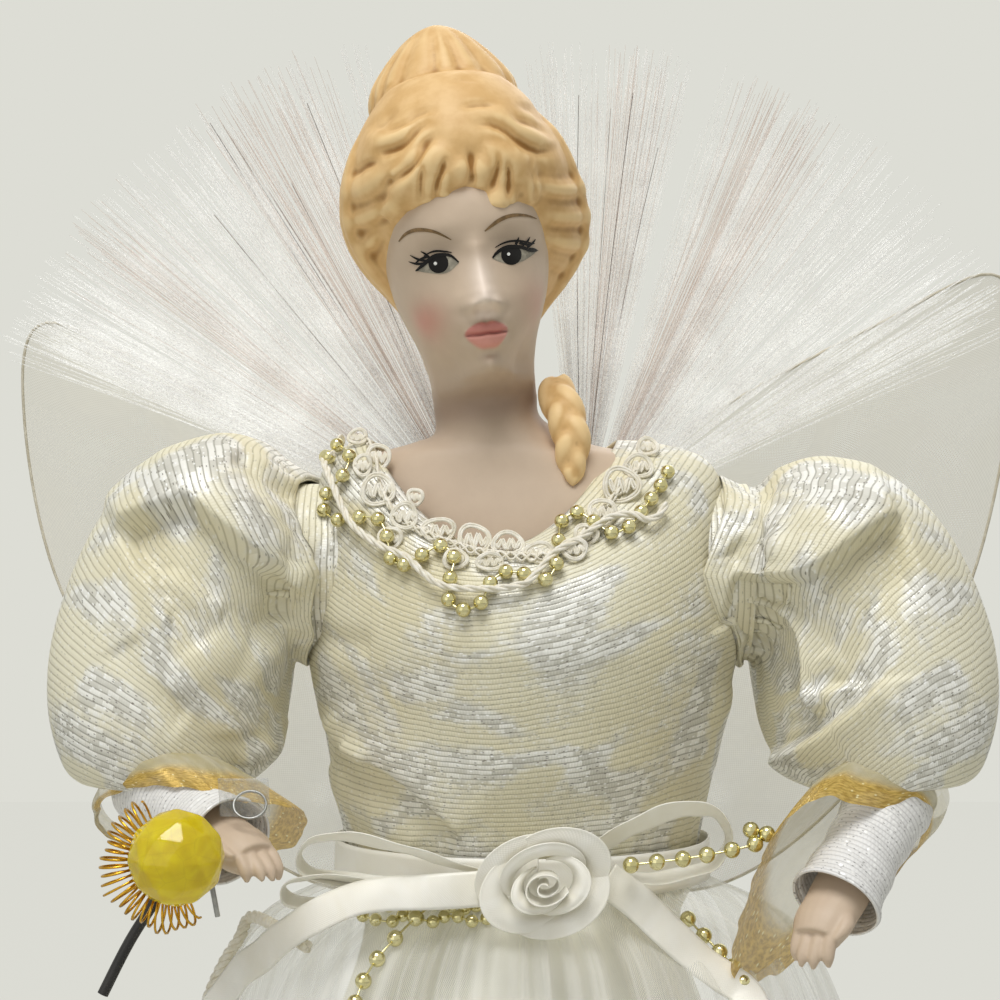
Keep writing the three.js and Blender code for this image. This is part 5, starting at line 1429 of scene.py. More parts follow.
def build_frill(name, side):
    rim = [seen(px, py, depth * MM) for px, py, depth in FRILL_RIMS[side]]
    count = len(rim)
    root = reach(side, 1.5)
    run = FOREARMS[side]

    def rim_place(u):
        """Point of the closed rim at u round it, with its small ruffles."""
        place = (u % 1.0) * count
        i = int(place)
        point = along([rim[(i + k) % count] for k in (-1, 0, 1, 2)], (1 + place - i) / 3)
        ruffle = math.sin(2 * math.pi * 13 * u) + 0.6 * math.sin(2 * math.pi * 23 * u + 1)
        out = (point - root).normalized()
        sway = math.cos(2 * math.pi * 17 * u)
        return point + out * (0.28 * MM * ruffle) + run * (0.35 * MM * sway)

    def column(u):
        edge = rim_place(u)
        out = edge - root
        out -= run * out.dot(run)
        start = root + out.normalized() * (FRILL_START * MM)
        middle = start.lerp(edge, 0.5) + out.normalized() * (1.6 * MM)
        return [start, middle, start.lerp(edge, 0.82) + out.normalized() * (0.9 * MM), edge]

    made = put(name + "_cloth", lofted(220, 30, column, FRILL_FLAT), FRILL_CLOTH, side_body(side))
    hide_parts(name)


CUFF_LENGTH = 27
CUFF_RADII = [7.2, 7.4, 7.0, 6.7, 6.5, 6.7, 7.0, 7.3]


def build_cuff(name, side):
    up, across = forearm_frame(side)

    def column(u):
        angle = 2 * math.pi * u
        points = []
        for i in range(30):
            v = i / 29
            crush = 0.16 * math.sin(24 * v + 2.2 * math.sin(angle) + 1.3 * math.cos(2 * angle))
            hem = 0.35 * bell(v - 0.97, 0.03)
            r = (along(CUFF_RADII, v) + crush + hem) * MM
            place = reach(side, 3 + CUFF_LENGTH * v)
            points.append(place + up * (r * math.cos(angle)) + across * (r * math.sin(angle)))
        return points

    made = put(name + "_cloth", lofted(96, 90, column, (0.042, 0.024)), SILVER_CLOTH, side_body(side))
    modify(made, "SOLIDIFY", thickness=0.4 * MM, offset=-1.0)
    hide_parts(name)


# Palm: distance beyond the cuff, sideways and lift, with its radii, in mm
PALM = [(-9, 0, 0), (-2, 0, 0), (2.5, 0, 0.1), (6, 0, 0.2), (9, -0.2, 0)]
PALM_RADII = [5.2, 5.2, 5.0, 4.9, 3.9]
# Fingers: side place on the knuckles in mm, length in mm, curl
FINGERS = [(-3.1, 6.2, 0.9), (-1.1, 7.2, 0.7), (0.9, 7.0, 0.6), (2.7, 5.8, 0.8)]


def build_hand(name, side):
    up, across = forearm_frame(side)

    def spot_on(distance, sideways, lift):
        return reach(side, 2 + CUFF_LENGTH + distance) + across * (sideways * MM) + up * (lift * MM)

    palm_route = [spot_on(*place) for place in PALM]
    pieces = [tube(palm_route, [r * MM for r in PALM_RADII], 20, 20, up=up, flatten=0.74)]
    for sideways, length, curl in FINGERS:
        route = []
        for i in range(6):
            t = i / 5
            bend = curl * t * 1.2
            route.append(spot_on(7.5 + length * t * math.cos(bend * 0.7), sideways, 0.6 - 3.6 * curl * t * t))
        pieces.append(tube(route, [r * MM for r in (1.25, 1.2, 1.1, 1.0, 0.35)], 12, 16, up=up))
    inner = -side
    thumb = [spot_on(3, 2.6 * inner, 0.4), spot_on(6, 4.6 * inner, 1.0), spot_on(9.5, 4.2 * inner, 1.2)]
    pieces.append(tube(thumb, [r * MM for r in (1.7, 1.5, 1.1, 0.4)], 12, 14, up=up))
    made = put(name + "_skin", gather(pieces), PORCELAIN, side_body(side))
    modify(made, "REMESH", mode="VOXEL", voxel_size=0.3 * MM)
    modify(made, "SMOOTH", factor=0.5, iterations=4)
    apply_modifiers(made)
    shade = made.data.attributes.new("paint", "FLOAT_COLOR", "POINT")
    shade.data.foreach_set("color", [channel for _ in made.data.vertices for channel in (*SKIN, 1.0)])
    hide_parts(name)


for side_name, side in (("left", -1), ("right", 1)):
    build_frill(side_name + "_frill", side)
    build_cuff(side_name + "_cuff", side)
    build_hand(side_name + "_hand", side)


# Lace collar: thread rings along the neckline with a chain through them
RING_WOBBLE = 0.06
# Each ring in pixels: across and down, half width and half height
LACE_RINGS = [
    (378, 461, 12, 15), (379, 494, 17, 17), (405, 521, 13, 14), (438, 534, 17, 13), (473, 546, 16, 18),
    (508, 551, 16, 13), (539, 557, 15, 11), (602, 517, 14, 15), (621, 490, 19, 19), (638, 470, 15, 13),
    (364, 470, 9, 12), (412, 503, 8, 9), (456, 562, 12, 10), (490, 566, 13, 9), (574, 555, 13, 11),
    (586, 538, 12, 11), (647, 452, 11, 10), (360, 444, 10, 9), (392, 540, 12, 11),
]
LACE_CHAIN = pairs(
    366, 440, 376, 462, 382, 492, 398, 517, 428, 537, 470, 552, 506, 558, 542, 559, 574, 544, 598, 516,
    622, 490, 642, 466,
)


def on_chest(px, py, lift):
    """Place that the camera sees on skin or bodice, lifted in mm, with the way that it faces."""
    seats = [found for found in (hit(skin_tree, px, py), hit(bodice_tree, px, py)) if found]
    seat, normal = min(seats or [cast(bodice_tree, px, py, -8 * MM)], key=lambda pair: pair[0].y)
    return seat + normal * (lift * MM), normal


def thread_ring(centre, normal, width, height, turn):
    """Route of an uneven thread ring that lies flat on a surface; sizes in metres."""
    side = Vector((0, 0, 1)).cross(normal).normalized()
    rise = normal.cross(side)
    route = []
    for k in range(28):
        angle = 2 * math.pi * k / 28
        r = 1 + RING_WOBBLE * math.sin(3 * angle + turn)
        bulge = normal * (0.25 * MM * math.sin(2 * angle + turn))
        across = side * (r * width * math.cos(angle))
        route.append(centre + across + rise * (r * height * math.sin(angle)) + bulge)
    return route


def ring_fill(centre, normal, width, height, turn):
    """Zigzag threads inside a lace ring."""
    side = Vector((0, 0, 1)).cross(normal).normalized()
    rise = normal.cross(side)
    routes = []
    for phase in (0.0, 1.6):
        route = []
        for i in range(19):
            t = 2 * i / 18 - 1
            span = math.sqrt(max(0.0, 1 - t * t))
            swing = 0.55 * span * math.sin(9 * t + phase + turn)
            route.append(centre + side * (width * t) + rise * (height * swing) - normal * (0.2 * MM * span))
        routes.append(route)
    return routes


def back_neck(angle, lift, rise):
    """Point round the back of the neckline."""
    z, x, front, back, shift, drop = BODICE_RINGS[-1]
    lower = BACK_DROP[-1] * max(0.0, math.sin(angle)) ** 2
    return oval((WAIST + z + rise - lower, x + 6 + lift, front + 4, back + 3 + lift, shift, drop), angle)


def build_lace():
    loops = []
    chain = []
    for k, (px, py, across, down) in enumerate(LACE_RINGS):
        centre, normal = on_chest(px, py, 0.9 + 0.25 * (k % 3))
        normal = (normal * 0.45 + Vector((0, -0.85, 0.1))).normalized()
        for spread_by in (1.0, 0.86):
            size = spread_by * PIXEL * 0.94
            loops.append(thread_ring(centre, normal, across * size, down * size, 1.7 * k + spread_by))
        chain += ring_fill(centre, normal, across * PIXEL * 0.8, down * PIXEL * 0.8, k)
    for phase in (0, 1, 2):
        route = []
        for i, pixel in enumerate(spaced(LACE_CHAIN, 90)):
            turn = 2 * math.pi * (i / 7.5 + phase / 3)
            seat, normal = on_chest(pixel.x, pixel.y + 3.4 * math.sin(turn), 0.75)
            route.append(seat + normal * (0.35 * MM * math.cos(2 * turn)))
        chain.append(route)
    for k in range(13):
        angle = math.radians(8 + 164 * k / 12)
        centre = back_neck(angle, 0.6, -1.2)
        normal = Vector((centre.x, centre.y, 0.012)).normalized()
        for spread_by in (0.94, 0.82):
            loops.append(thread_ring(centre, normal, 2.9 * MM * spread_by, 2.6 * MM * spread_by, k))
    for phase in (0, 1, 2):
        route = []
        for i in range(120):
            turn = 2 * math.pi * (i / 6 + phase / 3)
            place = back_neck(math.radians(4 + 172 * i / 119), 0.9 + 0.35 * math.cos(2 * turn), -1.2)
            route.append(place + Vector((0, 0, 0.45 * MM * math.sin(turn))))
        chain.append(route)
    rings = threads("lace_rings", loops, 0.25 * MM, LACE_THREAD, closed=True)
    braid = threads("lace_chain", chain, 0.24 * MM, LACE_THREAD)
    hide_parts("lace_collar")


build_lace()


# Twisted cords and bead strings
def twisted(name, route, radius, strands, pitch, node_name, seat_normal):
    """Cord of strands laid round each other along a route of points; sizes in metres."""
    rows = spaced(route, 14 * len(route))
    length = sum((b - a).length for a, b in zip(rows, rows[1:]))
    routes = []
    for strand in range(strands):
        laid = []
        for i, place in enumerate(rows):
            t = i / (len(rows) - 1)
            first, second = cross_frame(rows, t, seat_normal)
            angle = 2 * math.pi * (t * length / pitch + strand / strands)
            laid.append(place + first * (radius * math.cos(angle)) + second * (radius * math.sin(angle)))
        routes.append(laid)
    made = threads(name, routes, radius * 0.95, LACE_THREAD)
    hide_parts(node_name)


def bead_string(name, centres, radius, node_name):
    """Gold beads at their places, with the thread that they are strung on."""
    whole = bmesh.new()
    for centre in centres:
        place = Matrix.Translation(centre)
        bmesh.ops.create_uvsphere(whole, u_segments=20, v_segments=12, radius=radius, matrix=place)
    beads = put(name + "_beads", whole, GOLD_BEAD)
    string = threads(name + "_thread", [spaced(centres, 4 * len(centres))], 0.2 * MM, GOLD_BEAD)
    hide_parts(node_name)


COLLAR_BEADS = pairs(
    309, 443, 322, 450, 341, 452, 352, 462, 347, 480, 333, 496, 331, 512, 344, 522, 364, 520, 381, 523,
    390, 540, 394, 561, 407, 568, 424, 559, 441, 551, 455, 562, 452, 582, 451, 602, 465, 612, 482, 605,
    491, 587, 506, 577, 524, 579, 545, 584, 556, 569, 559, 547, 563, 527, 578, 518, 594, 527, 611, 538,
    628, 532, 640, 517, 650, 504, 659, 491, 666, 478,
)
COLLAR_CORD = pairs(
    333, 452, 331, 461, 336, 478, 344, 498, 356, 524, 373, 541, 390, 552, 409, 561, 424, 575, 441, 587,
    460, 592, 487, 593, 508, 592, 528, 587, 540, 575, 554, 561, 576, 549, 593, 536, 610, 524, 632, 521,
    651, 526, 663, 510,
)
BEAD_RADIUS = 1.28 * MM


def build_collar_trim():
    centres = [on_chest(px, py, 1.5)[0] for px, py in COLLAR_BEADS]
    bead_string("collar_bead", centres, BEAD_RADIUS, "bead_collar")
    cord = [on_chest(px, py, 1.9)[0] for px, py in spaced(COLLAR_CORD, 34)]
    twisted("collar_cord_strands", cord, 0.34 * MM, 3, 8 * MM, "collar_cord", Vector((0, -1, 0)))


build_collar_trim()


# Skirts: satin over the cone, and sheer organza gathered over it
def cone_radius(z):
    """Radius of the cone under the skirts at a height, in mm."""
    return 94 - 0.345 * z


# Rings up a skirt, in mm: height, half width, front and back reach
UNDER_RINGS = [(z, *[cone_radius(z) + 4] * 3) for z in (3, 60, 125, 175, 203)]
UNDER_RINGS += [(213.1, 31.3, 22.7, 20.7), (216.6, 31.3, 22.7, 20.7)]
OVER_FULLNESS = [(3.8, 0), (60, 10), (125, 15), (175, 17)]
OVER_RINGS = [(z, *[cone_radius(z) + 10.3 + full] * 3) for z, full in OVER_FULLNESS]
OVER_RINGS += [(203, 49.3, 41.3, 39.3), (213.1, 32.6, 24, 22), (216.6, 32.6, 24, 22)]
# Folds round a skirt: how many, depth in mm, and turn; the tight ones are the waist's gathers
UNDER_FOLDS = [(8, 1.1, 0.4), (19, 0.65, 2.0), (31, 0.35, 1.0)]
OVER_FOLDS = [(12, 2.0, 0.3), (29, 0.9, 1.4), (47, 0.45, 2.2), (7, 0.8, 0.0)]
TIGHT_FOLDS = [(34, 0.7, 0.0), (61, 0.35, 1.0)]
TIGHT_REACH = 0.16
SKIRT_TOP = 216.6


def skirt_point(ring, angle, folds, gathers):
    """Point of a skirt's ring with its hanging folds and the fine gathers near its waist."""
    z, x, front, back = ring
    share = (SKIRT_TOP - z) / SKIRT_TOP
    sway = 0.25 * math.sin(3 * angle) + 0.9 * share * math.sin(5 * angle + 2)
    hanging = sum(deep * math.cos(count * angle + start + sway) for count, deep, start in folds)
    tight = sum(deep * math.cos(count * angle + start) for count, deep, start in gathers)
    fold = hanging * math.sqrt(share) + tight * bell(share, TIGHT_REACH)
    return oval((z, x + fold, front + fold, back + fold, 0, 0), angle)


def skirt_cloth(rings, folds, gathers, columns, rows, flat):
    def column(u):
        angle = 2 * math.pi * u + math.pi / 2
        return [skirt_point(ring, angle, folds, gathers) for ring in rings]

    return lofted(columns, rows, column, flat)


def build_skirts():
    under = put("underskirt", skirt_cloth(UNDER_RINGS, UNDER_FOLDS, [], 200, 70, (0.42, 0.225)), SKIRT_SATIN)
    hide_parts("satin_underskirt")
    over_bm = skirt_cloth(OVER_RINGS, OVER_FOLDS, TIGHT_FOLDS, 420, 110, (0.6, 0.23))
    over = put("overskirt", over_bm, OVERSKIRT_ORGANZA)
    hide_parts("organza_overskirt")
    hem_rings = [(z, *[cone_radius(z) + 10.5] * 3) for z in (3.0, 3.7, 4.6)]
    hem = put("gold_hem_band", skirt_cloth(hem_rings, OVER_FOLDS, [], 420, 4, (0.6, 0.002)), HEM_CLOTH)
    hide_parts("gold_hem")
    return over


overskirt = build_skirts()
skirt_tree = surface_tree(overskirt)


# Ribbon: waist band, bow, tails and rosette
RIBBON_WIDTH = 5.8 * MM
TAIL_LIFT = 3.3 * MM


def ribbon(name, points, sides, rows, node_name, slant=0.0):
    """Satin ribbon along points; sides are the ways that its width lies, one for each point."""
    length = sum((b - a).length for a, b in zip(points, points[1:]))

    def place(u, v):
        v = min(max(v + slant * (u - 0.5) * ease(0.9, 1.0, v), 0.0), 1.0)
        width = along(sides, v).normalized()
        ripple = 0.12 * MM * math.sin(40 * v + 2 * u) + 0.3 * MM * (2 * u - 1) ** 2
        step = 0.01
        run = (along(points, min(1, v + step)) - along(points, max(0, v - step))).normalized()
        return along(points, v) + width * ((u - 0.5) * RIBBON_WIDTH) + run.cross(width) * ripple

    made = put(name, bent_grid(10, rows, place, (RIBBON_WIDTH, length)), SATIN)
    modify(made, "SOLIDIFY", thickness=0.2 * MM, offset=0.0)
    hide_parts(node_name)


# Bow loops: pixel across and down, depth in mm, and how far the ribbon is turned on edge, in degrees
RIGHT_LOOP = [
    (594, 848, -28.5, 60), (628, 828, -31, 54), (664, 812, -32, 52), (697, 807, -31.5, 58),
    (721, 816, -30, 72), (730, 838, -28.5, 86), (718, 862, -27.6, 84), (688, 874, -27.4, 80),
    (648, 880, -28, 80), (600, 874, -28.5, 78),
]
LEFT_UPPER_LOOP = [
    (478, 874, -28.5, 70), (440, 862, -31, 68), (400, 850, -32, 66), (350, 839, -31.5, 64),
    (316, 841, -30, 74), (300, 856, -28.5, 88), (313, 872, -27.5, 80), (360, 880, -27.3, 74),
    (420, 884, -28, 74), (478, 884, -28.5, 74),
]
LEFT_LOWER_LOOP = [
    (478, 890, -28, 72), (420, 889, -29, 72), (360, 882, -29.6, 70), (312, 879, -29.4, 72),
    (286, 886, -28.4, 86), (292, 899, -27.2, 80), (336, 904, -26.8, 76), (400, 900, -27.2, 74),
    (478, 896, -28, 72),
]
LEFT_TAIL = pairs(
    480, 889, 430, 892, 388, 893, 350, 900, 314, 917, 282, 944, 250, 985, 224, 1025, 204, 1080, 190, 1150,
)
RIGHT_TAIL = pairs(606, 879, 640, 904, 669, 932, 701, 960, 732, 992, 756, 1030, 774, 1080, 786, 1150)


def bow_loop(name, stations, node_name):
    points = [seen(px, py, depth * MM) for px, py, depth, _ in stations]
    middle = sum(points, Vector()) / len(points)
    sides = []
    for i, (_, _, _, turned) in enumerate(stations):
        run = points[min(i + 1, len(points) - 1)] - points[max(i - 1, 0)]
        out = Vector((-run.z, 0, run.x)).normalized()
        if out.dot(points[i] - middle) < 0:
            out = -out
        turn = math.radians(turned)
        sides.append(out * math.cos(turn) + Vector((0, -1, 0)) * math.sin(turn))
    ribbon(name, points, sides, 90, node_name)


def tail(name, pixels, node_name, front):
    """Ribbon end that springs from the bow at a depth in mm, in front of it, then lies on the skirt."""
    route = spaced(pixels, 26)
    seats = [cast(skirt_tree, *pixel, -30 * MM) for pixel in route]
    points = []
    sides = []
    for i, (seat, normal) in enumerate(seats):
        lying = ease(0.36, 0.62, i / (len(route) - 1))
        points.append(seen(*route[i], front * MM).lerp(seat + normal * TAIL_LIFT, lying))
    for i in range(len(points)):
        run = points[min(i + 1, len(points) - 1)] - points[max(i - 1, 0)]
        near = [normal for _, normal in seats[max(i - 3, 0):i + 4]]
        face = sum(near, Vector()) / len(near) + Vector((0, -0.8, 0))
        sides.append(run.cross(face).normalized())
    ribbon(name, points, sides, 110, node_name, slant=0.05)


ROSETTE_CENTRE = mm(3.4, 0, WAIST + 1.4)
ROSETTE_SEAT = -33.4
ROSETTE_TILT = math.radians(20)
# Folds of ribbon round the rosette's coil: bearing and span in degrees, foot radius, flare and height in mm
PETALS = [
    (205, 215, 3.3, 1.5, 6.4),
    (330, 205, 4.2, 1.9, 6.0),
    (85, 200, 5.0, 2.3, 5.3),
    (185, 190, 5.9, 3.0, 4.5),
    (285, 185, 6.3, 3.3, 3.7),
    (40, 175, 6.3, 3.4, 3.9),
    (130, 150, 6.5, 3.4, 3.2),
]


def rosette_place(angle, radius, rise):
    """Point of the rosette at a bearing, a radius and a rise off its seat, in mm."""
    across = 1.14 * radius * math.cos(angle)
    up = 0.86 * radius * math.sin(angle)
    turned = Vector((across, up))
    turned.rotate(Matrix.Rotation(ROSETTE_TILT, 2))
    return ROSETTE_CENTRE + mm(turned.x, ROSETTE_SEAT - rise, turned.y)


def build_rosette():
    def coil(u, v):
        angle = 2 * math.pi * 1.9 * v
        radius = 0.35 + 2.9 * v + 0.35 * u * v
        return rosette_place(angle, radius, 0.6 + (5.6 + 0.5 * math.sin(2 * angle)) * u * (1 - 0.08 * v))

    pieces = [bent_grid(14, 90, coil, (0.0058, 0.03))]
    for bearing, span, foot, flare, height in PETALS:

        def petal(u, v):
            angle = math.radians(bearing + span * (v - 0.5))
            full = math.sin(math.pi * v) ** 0.6
            rolled = ease(0.55, 1.0, u)
            radius = foot + flare * full * (u**2.2 + 0.3 * rolled) - 0.2 * (1 - full) * u
            lean = 0.35 * math.sin(3 * math.pi * v + bearing)
            rise = height * (0.1 + 0.9 * full) * (u - 0.24 * rolled * rolled) + lean * u * full
            return rosette_place(angle, radius, rise)

        pieces.append(bent_grid(18, 64, petal, (0.0058, 0.022)))
    made = put("rosette_ribbon", gather(pieces), SATIN)
    modify(made, "SOLIDIFY", thickness=0.3 * MM, offset=0.0)
    modify(made, "SUBSURF", levels=1, render_levels=1)
    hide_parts("satin_rosette")


def build_knot():
    """Ribbon drawn round the middle of the bow."""

    def place(u, v):
        angle = 2 * math.pi * v
        pinch = 1 - 0.25 * math.sin(math.pi * u)
        ridge = 0.15 * math.sin(9 * u) * math.sin(angle)
        depth = -28.9 - 3.1 * pinch * math.sin(angle)
        return mm(4.4 * (u - 0.5) + ridge, depth, WAIST + 2 + 5 * math.cos(angle))

    knot = put("bow_knot_wrap", bent_grid(10, 48, place, (RIBBON_WIDTH, 0.03), True), SATIN)
    modify(knot, "SOLIDIFY", thickness=0.3 * MM, offset=-1.0)
    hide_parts("bow_knot")


def build_waist_band():
    def place(u, v):
        angle = 2 * math.pi * v
        slack = 0.25 * math.sin(9 * angle) * (u - 0.5)
        return oval((WAIST - 3.5 + 7 * u, 33.4 + slack, 24.8 + slack, 22.8 + slack, 0, 0), angle)

    band = put("waist_band", bent_grid(8, 160, place, (RIBBON_WIDTH, 0.185), True), SATIN)
    modify(band, "SOLIDIFY", thickness=0.3 * MM, offset=1.0)
    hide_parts("waist_ribbon")


bow_loop("right_loop", RIGHT_LOOP, "bow_right_loop")
bow_loop("left_upper_loop", LEFT_UPPER_LOOP, "bow_left_upper_loop")
bow_loop("left_lower_loop", LEFT_LOWER_LOOP, "bow_left_lower_loop")
tail("left_tail", LEFT_TAIL, "bow_left_tail", -34.2)
tail("right_tail", RIGHT_TAIL, "bow_right_tail", -32)
build_rosette()
build_knot()
build_waist_band()

# Beads and cord at the waist
WAIST_BEAD = 1.38 * MM
SMALL_BEAD = 1.1 * MM
LEFT_SWAG = pairs(
    436, 909, 416, 925, 397, 945, 382, 964, 370, 985, 360, 1007, 352, 1030, 346, 1053, 342, 1077,
)
RIGHT_SWAG = pairs(685, 926, 700, 942, 714, 957, 728, 971, 740, 986, 751, 1004, 760, 1024)
# Beads of the spray: pixel across and down, depth in mm
SPRAY = [
    (631, 865, -34.5), (657, 862, -34.6), (683, 859, -34.4), (707, 855, -34),
    (732, 850, -33.6), (755, 844, -33), (767, 834, -32.6), (751, 830, -32.4),
]
TWIST = pairs(272, 903, 258, 920, 244, 940, 230, 962, 218, 988, 208, 1018)


def on_skirt(px, py, lift):
    """Place that the camera sees on the overskirt, lifted off it."""
    seat, normal = cast(skirt_tree, px, py, -30 * MM)
    return seat + normal * lift


def build_waist_trim():
    upper = [on_skirt(330 + 12.2 * k, 911 + 3 * math.sin(1.3 * k), SMALL_BEAD) for k in range(14)]
    lower = [on_skirt(486 - 13.5 * k, 924 + 3 * math.sin(1.9 * k), SMALL_BEAD) for k in range(10)]
    bead_string("belt", upper + lower, SMALL_BEAD, "bead_belt")
    for side_name, pixels in (("left", LEFT_SWAG), ("right", RIGHT_SWAG)):
        beads = [on_skirt(px, py, WAIST_BEAD) for px, py in pixels]
        bead_string(side_name + "_swag", beads, WAIST_BEAD, side_name + "_bead_swag")
    bead_string("spray", [seen(px, py, depth * MM) for px, py, depth in SPRAY], WAIST_BEAD, "bead_spray")
    twist = [on_skirt(px, py, 1.2 * MM) for px, py in TWIST]
    twisted("waist_cord_strands", twist, 0.58 * MM, 3, 5 * MM, "twisted_cord", Vector((0, -1, 0)))


build_waist_trim()

# Flower in the hand: faceted bead in a ring of spring wire
FLOWER = mm(-53, -57, 226.5)
FLOWER_RADIUS = 7.5 * MM
CURLS = 24


def build_flower():
    bm = bmesh.new()
    bmesh.ops.create_icosphere(bm, subdivisions=2, radius=FLOWER_RADIUS, matrix=Matrix.Translation(FLOWER))
    bmesh.ops.bevel(
        bm, geom=bm.edges[:], offset=0.35 * MM, affect="EDGES", segments=2, profile=0.5, material=-1
    )
    bead = put("flower_acrylic", bm, CRYSTAL, "left_arm", smooth=False)
    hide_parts("flower_bead")
    route = []
    for i in range(CURLS * 14 + 1):
        t = i / (CURLS * 14)
        bearing = math.radians(112 + 190 * t)
        curl = 2 * math.pi * CURLS * t
        size = 2.5 + 0.4 * math.sin(17 * t) + 0.3 * math.sin(41 * t)
        out = 7.7 + size * math.cos(curl)
        place = mm(out * math.cos(bearing) - 2, 3.6 + size * math.sin(curl), out * math.sin(bearing) - 1.5)
        route.append(FLOWER + place)
    spring = threads("flower_curls", [route], 0.2 * MM, GOLD_WIRE, "left_arm", fineness=1)
    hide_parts("flower_spring")


def build_flower_ties():
    stem_top = FLOWER + mm(0, 9.3, 0)
    bends = [mm(0, 0, 0), mm(-4, 1, -7), mm(-9, 1, -15), mm(-13, 0, -23)]
    stem_route = spaced([stem_top + bend for bend in bends], 20)
    stem = threads("flower_stalk", [stem_route], 0.9 * MM, BLACK_PLASTIC, "left_arm", fineness=4)
    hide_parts("flower_stem")
    low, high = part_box("tie_wire")
    tie_route = [(low.x, low.y, high.z), (low.x + 1.5 * MM, low.y + MM, high.z - MM), (high.x, high.y, low.z)]
    tie = threads("tie_twist", [spaced([Vector(p) for p in tie_route], 16)], 0.45 * MM, STEEL, "left_arm")
    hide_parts("tie_wire")
    low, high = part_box("clear_tag")

    def place(u, v):
        curl = 0.5 * MM * math.sin(math.pi * u)
        depth = low.y + (high.y - low.y) * (1 - v) - curl
        return Vector((low.x + (high.x - low.x) * u, depth, low.z + (high.z - low.z) * v))

    tag = put("tag_film", bent_grid(16, 12, place, (0.008, 0.0065)), CLEAR_FILM, "left_arm")
    modify(tag, "SOLIDIFY", thickness=0.3 * MM, offset=0.0)
    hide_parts("clear_tag")
    hole = Vector((low.x + 3 * MM, (low.y + high.y) / 2, low.z + 1.5 * MM))
    loop = []
    for k in range(24):
        angle = 2 * math.pi * k / 24
        across = 2.6 * math.cos(angle) + 2
        loop.append(hole + mm(across, -0.8 + 1.2 * math.sin(angle), 2.0 * math.sin(angle) + 0.6))
    wire = threads("tag_wire", [loop], 0.22 * MM, STEEL, "left_arm", closed=True)


build_flower()
build_flower_ties()

# Wings: fans of fibre, and sheer panels on their edge wires
# Each fan: where its strands would meet, first and last bearing, length in mm, bearings of its tinted
# strands, tinted as painted refraction
FANS = [
    ("left_fibre_fan", mm(-6, 0, 272), -68, -14, 92, [-31, -24, -52]),
    ("right_fibre_fan", mm(12, 0, 275), -6, 66, 84, [7, 30, 24]),
]
FIBRES = 640
CLUMPS = 30
# Counts of strands tinted as painted refraction: pale brown, then dark
REFRACTION_TINTED = 130
REFRACTION_DARK = 6


def fibre_route(apex, bearing, length):
    """One fibre from the clamp, a little bent."""
    angle = math.radians(bearing)
    bend = random.gauss(0, 1.6)
    root = random.uniform(27.5, 34.5)
    lean = random.uniform(0.02, 0.1)
    points = []
    for i in range(6):
        t = i / 5
        out = 12.5 + length * t
        sag = bend * t * t
        across = out * math.sin(angle) + sag * math.cos(angle)
        up = out * math.cos(angle) - sag * math.sin(angle)
        points.append(apex + mm(across, root + lean * length * t, up))
    return points


def build_fan(name, apex, first, last, length, refraction_tints):
    clumps = [random.uniform(first, last) for _ in range(CLUMPS)]
    clear = []
    for k in range(FIBRES):
        bearing = random.uniform(first, last) if k % 3 == 0 else random.choice(clumps) + random.gauss(0, 1.1)
        bearing = min(max(bearing, first - 2), last + 2)
        clear.append(fibre_route(apex, bearing, length * random.uniform(0.8, 1.0)))
    # Strands tinted pale brown round set bearings, as painted refraction
    refraction_tinted = []
    for k in range(REFRACTION_TINTED):
        bearing = refraction_tints[k % len(refraction_tints)] + random.gauss(0, 2.2)
        bearing = min(max(bearing, first - 2), last + 2)
        refraction_tinted.append(fibre_route(apex, bearing, length * random.uniform(0.86, 1.0)))
    # A few dark strands near the head, as painted refraction
    near_head = [refraction_tints[0] + random.gauss(0, 5) for _ in range(REFRACTION_DARK)]
    dark = [fibre_route(apex, bearing, length * random.uniform(0.7, 0.95)) for bearing in near_head]
    fan = threads(name + "_clear", clear, 0.1 * MM, FIBRE, fineness=0)
    for label, routes, material in (("refraction_tinted", refraction_tinted, REFRACTION_TINT_FIBRE), ("dark", dark, REFRACTION_DARK_FIBRE)):
        strands = threads(name + "_" + label, routes, 0.08 * MM, material, fineness=0)
        strands.visible_shadow = False
    fan.visible_shadow = False
    low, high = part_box("wing_clamp")
    outline = []
    for angle in range(first - 3, last + 4, 3):
        turn = math.radians(angle)
        outline.append(apex + mm(12 * math.sin(turn), 0, 12 * math.cos(turn)))

    def place(u, v):
        swell = math.sin(math.pi * u)
        return along(outline, v) + Vector((0, low.y + (high.y - low.y) * u, 0.6 * MM * swell))

    glue = put(name + "_root", bent_grid(12, 40, place, (0.009, 0.02)), WHITE_PLASTIC)
    modify(glue, "SOLIDIFY", thickness=1.6 * MM, offset=0.0)
    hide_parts(name)


# A panel's hub and rim: across and up from the waist, in mm
WING_HUB = (8, 50)
WING_RIM = [
    (12, 58), (40, 76), (72, 93), (98, 104), (102, 84), (94, 48), (76, 16), (52, -8), (30, -14), (18, 0),
    (12, 24), (10, 47),
]
WING_RAISED = {-1: -4, 1: 6}


def wing_place(side, across, up):
    """Point of a wing panel, with its slow ripple."""
    back = 37.2 + 0.16 * max(0.0, across - 12)
    ripple = 0.7 * math.sin(0.16 * across + 0.05 * up) * ease(12, 40, across)
    raised = WING_RAISED[side] * ease(20, 70, up) * ease(10, 40, across)
    return mm(side * across, back + ripple, WAIST + up + raised)


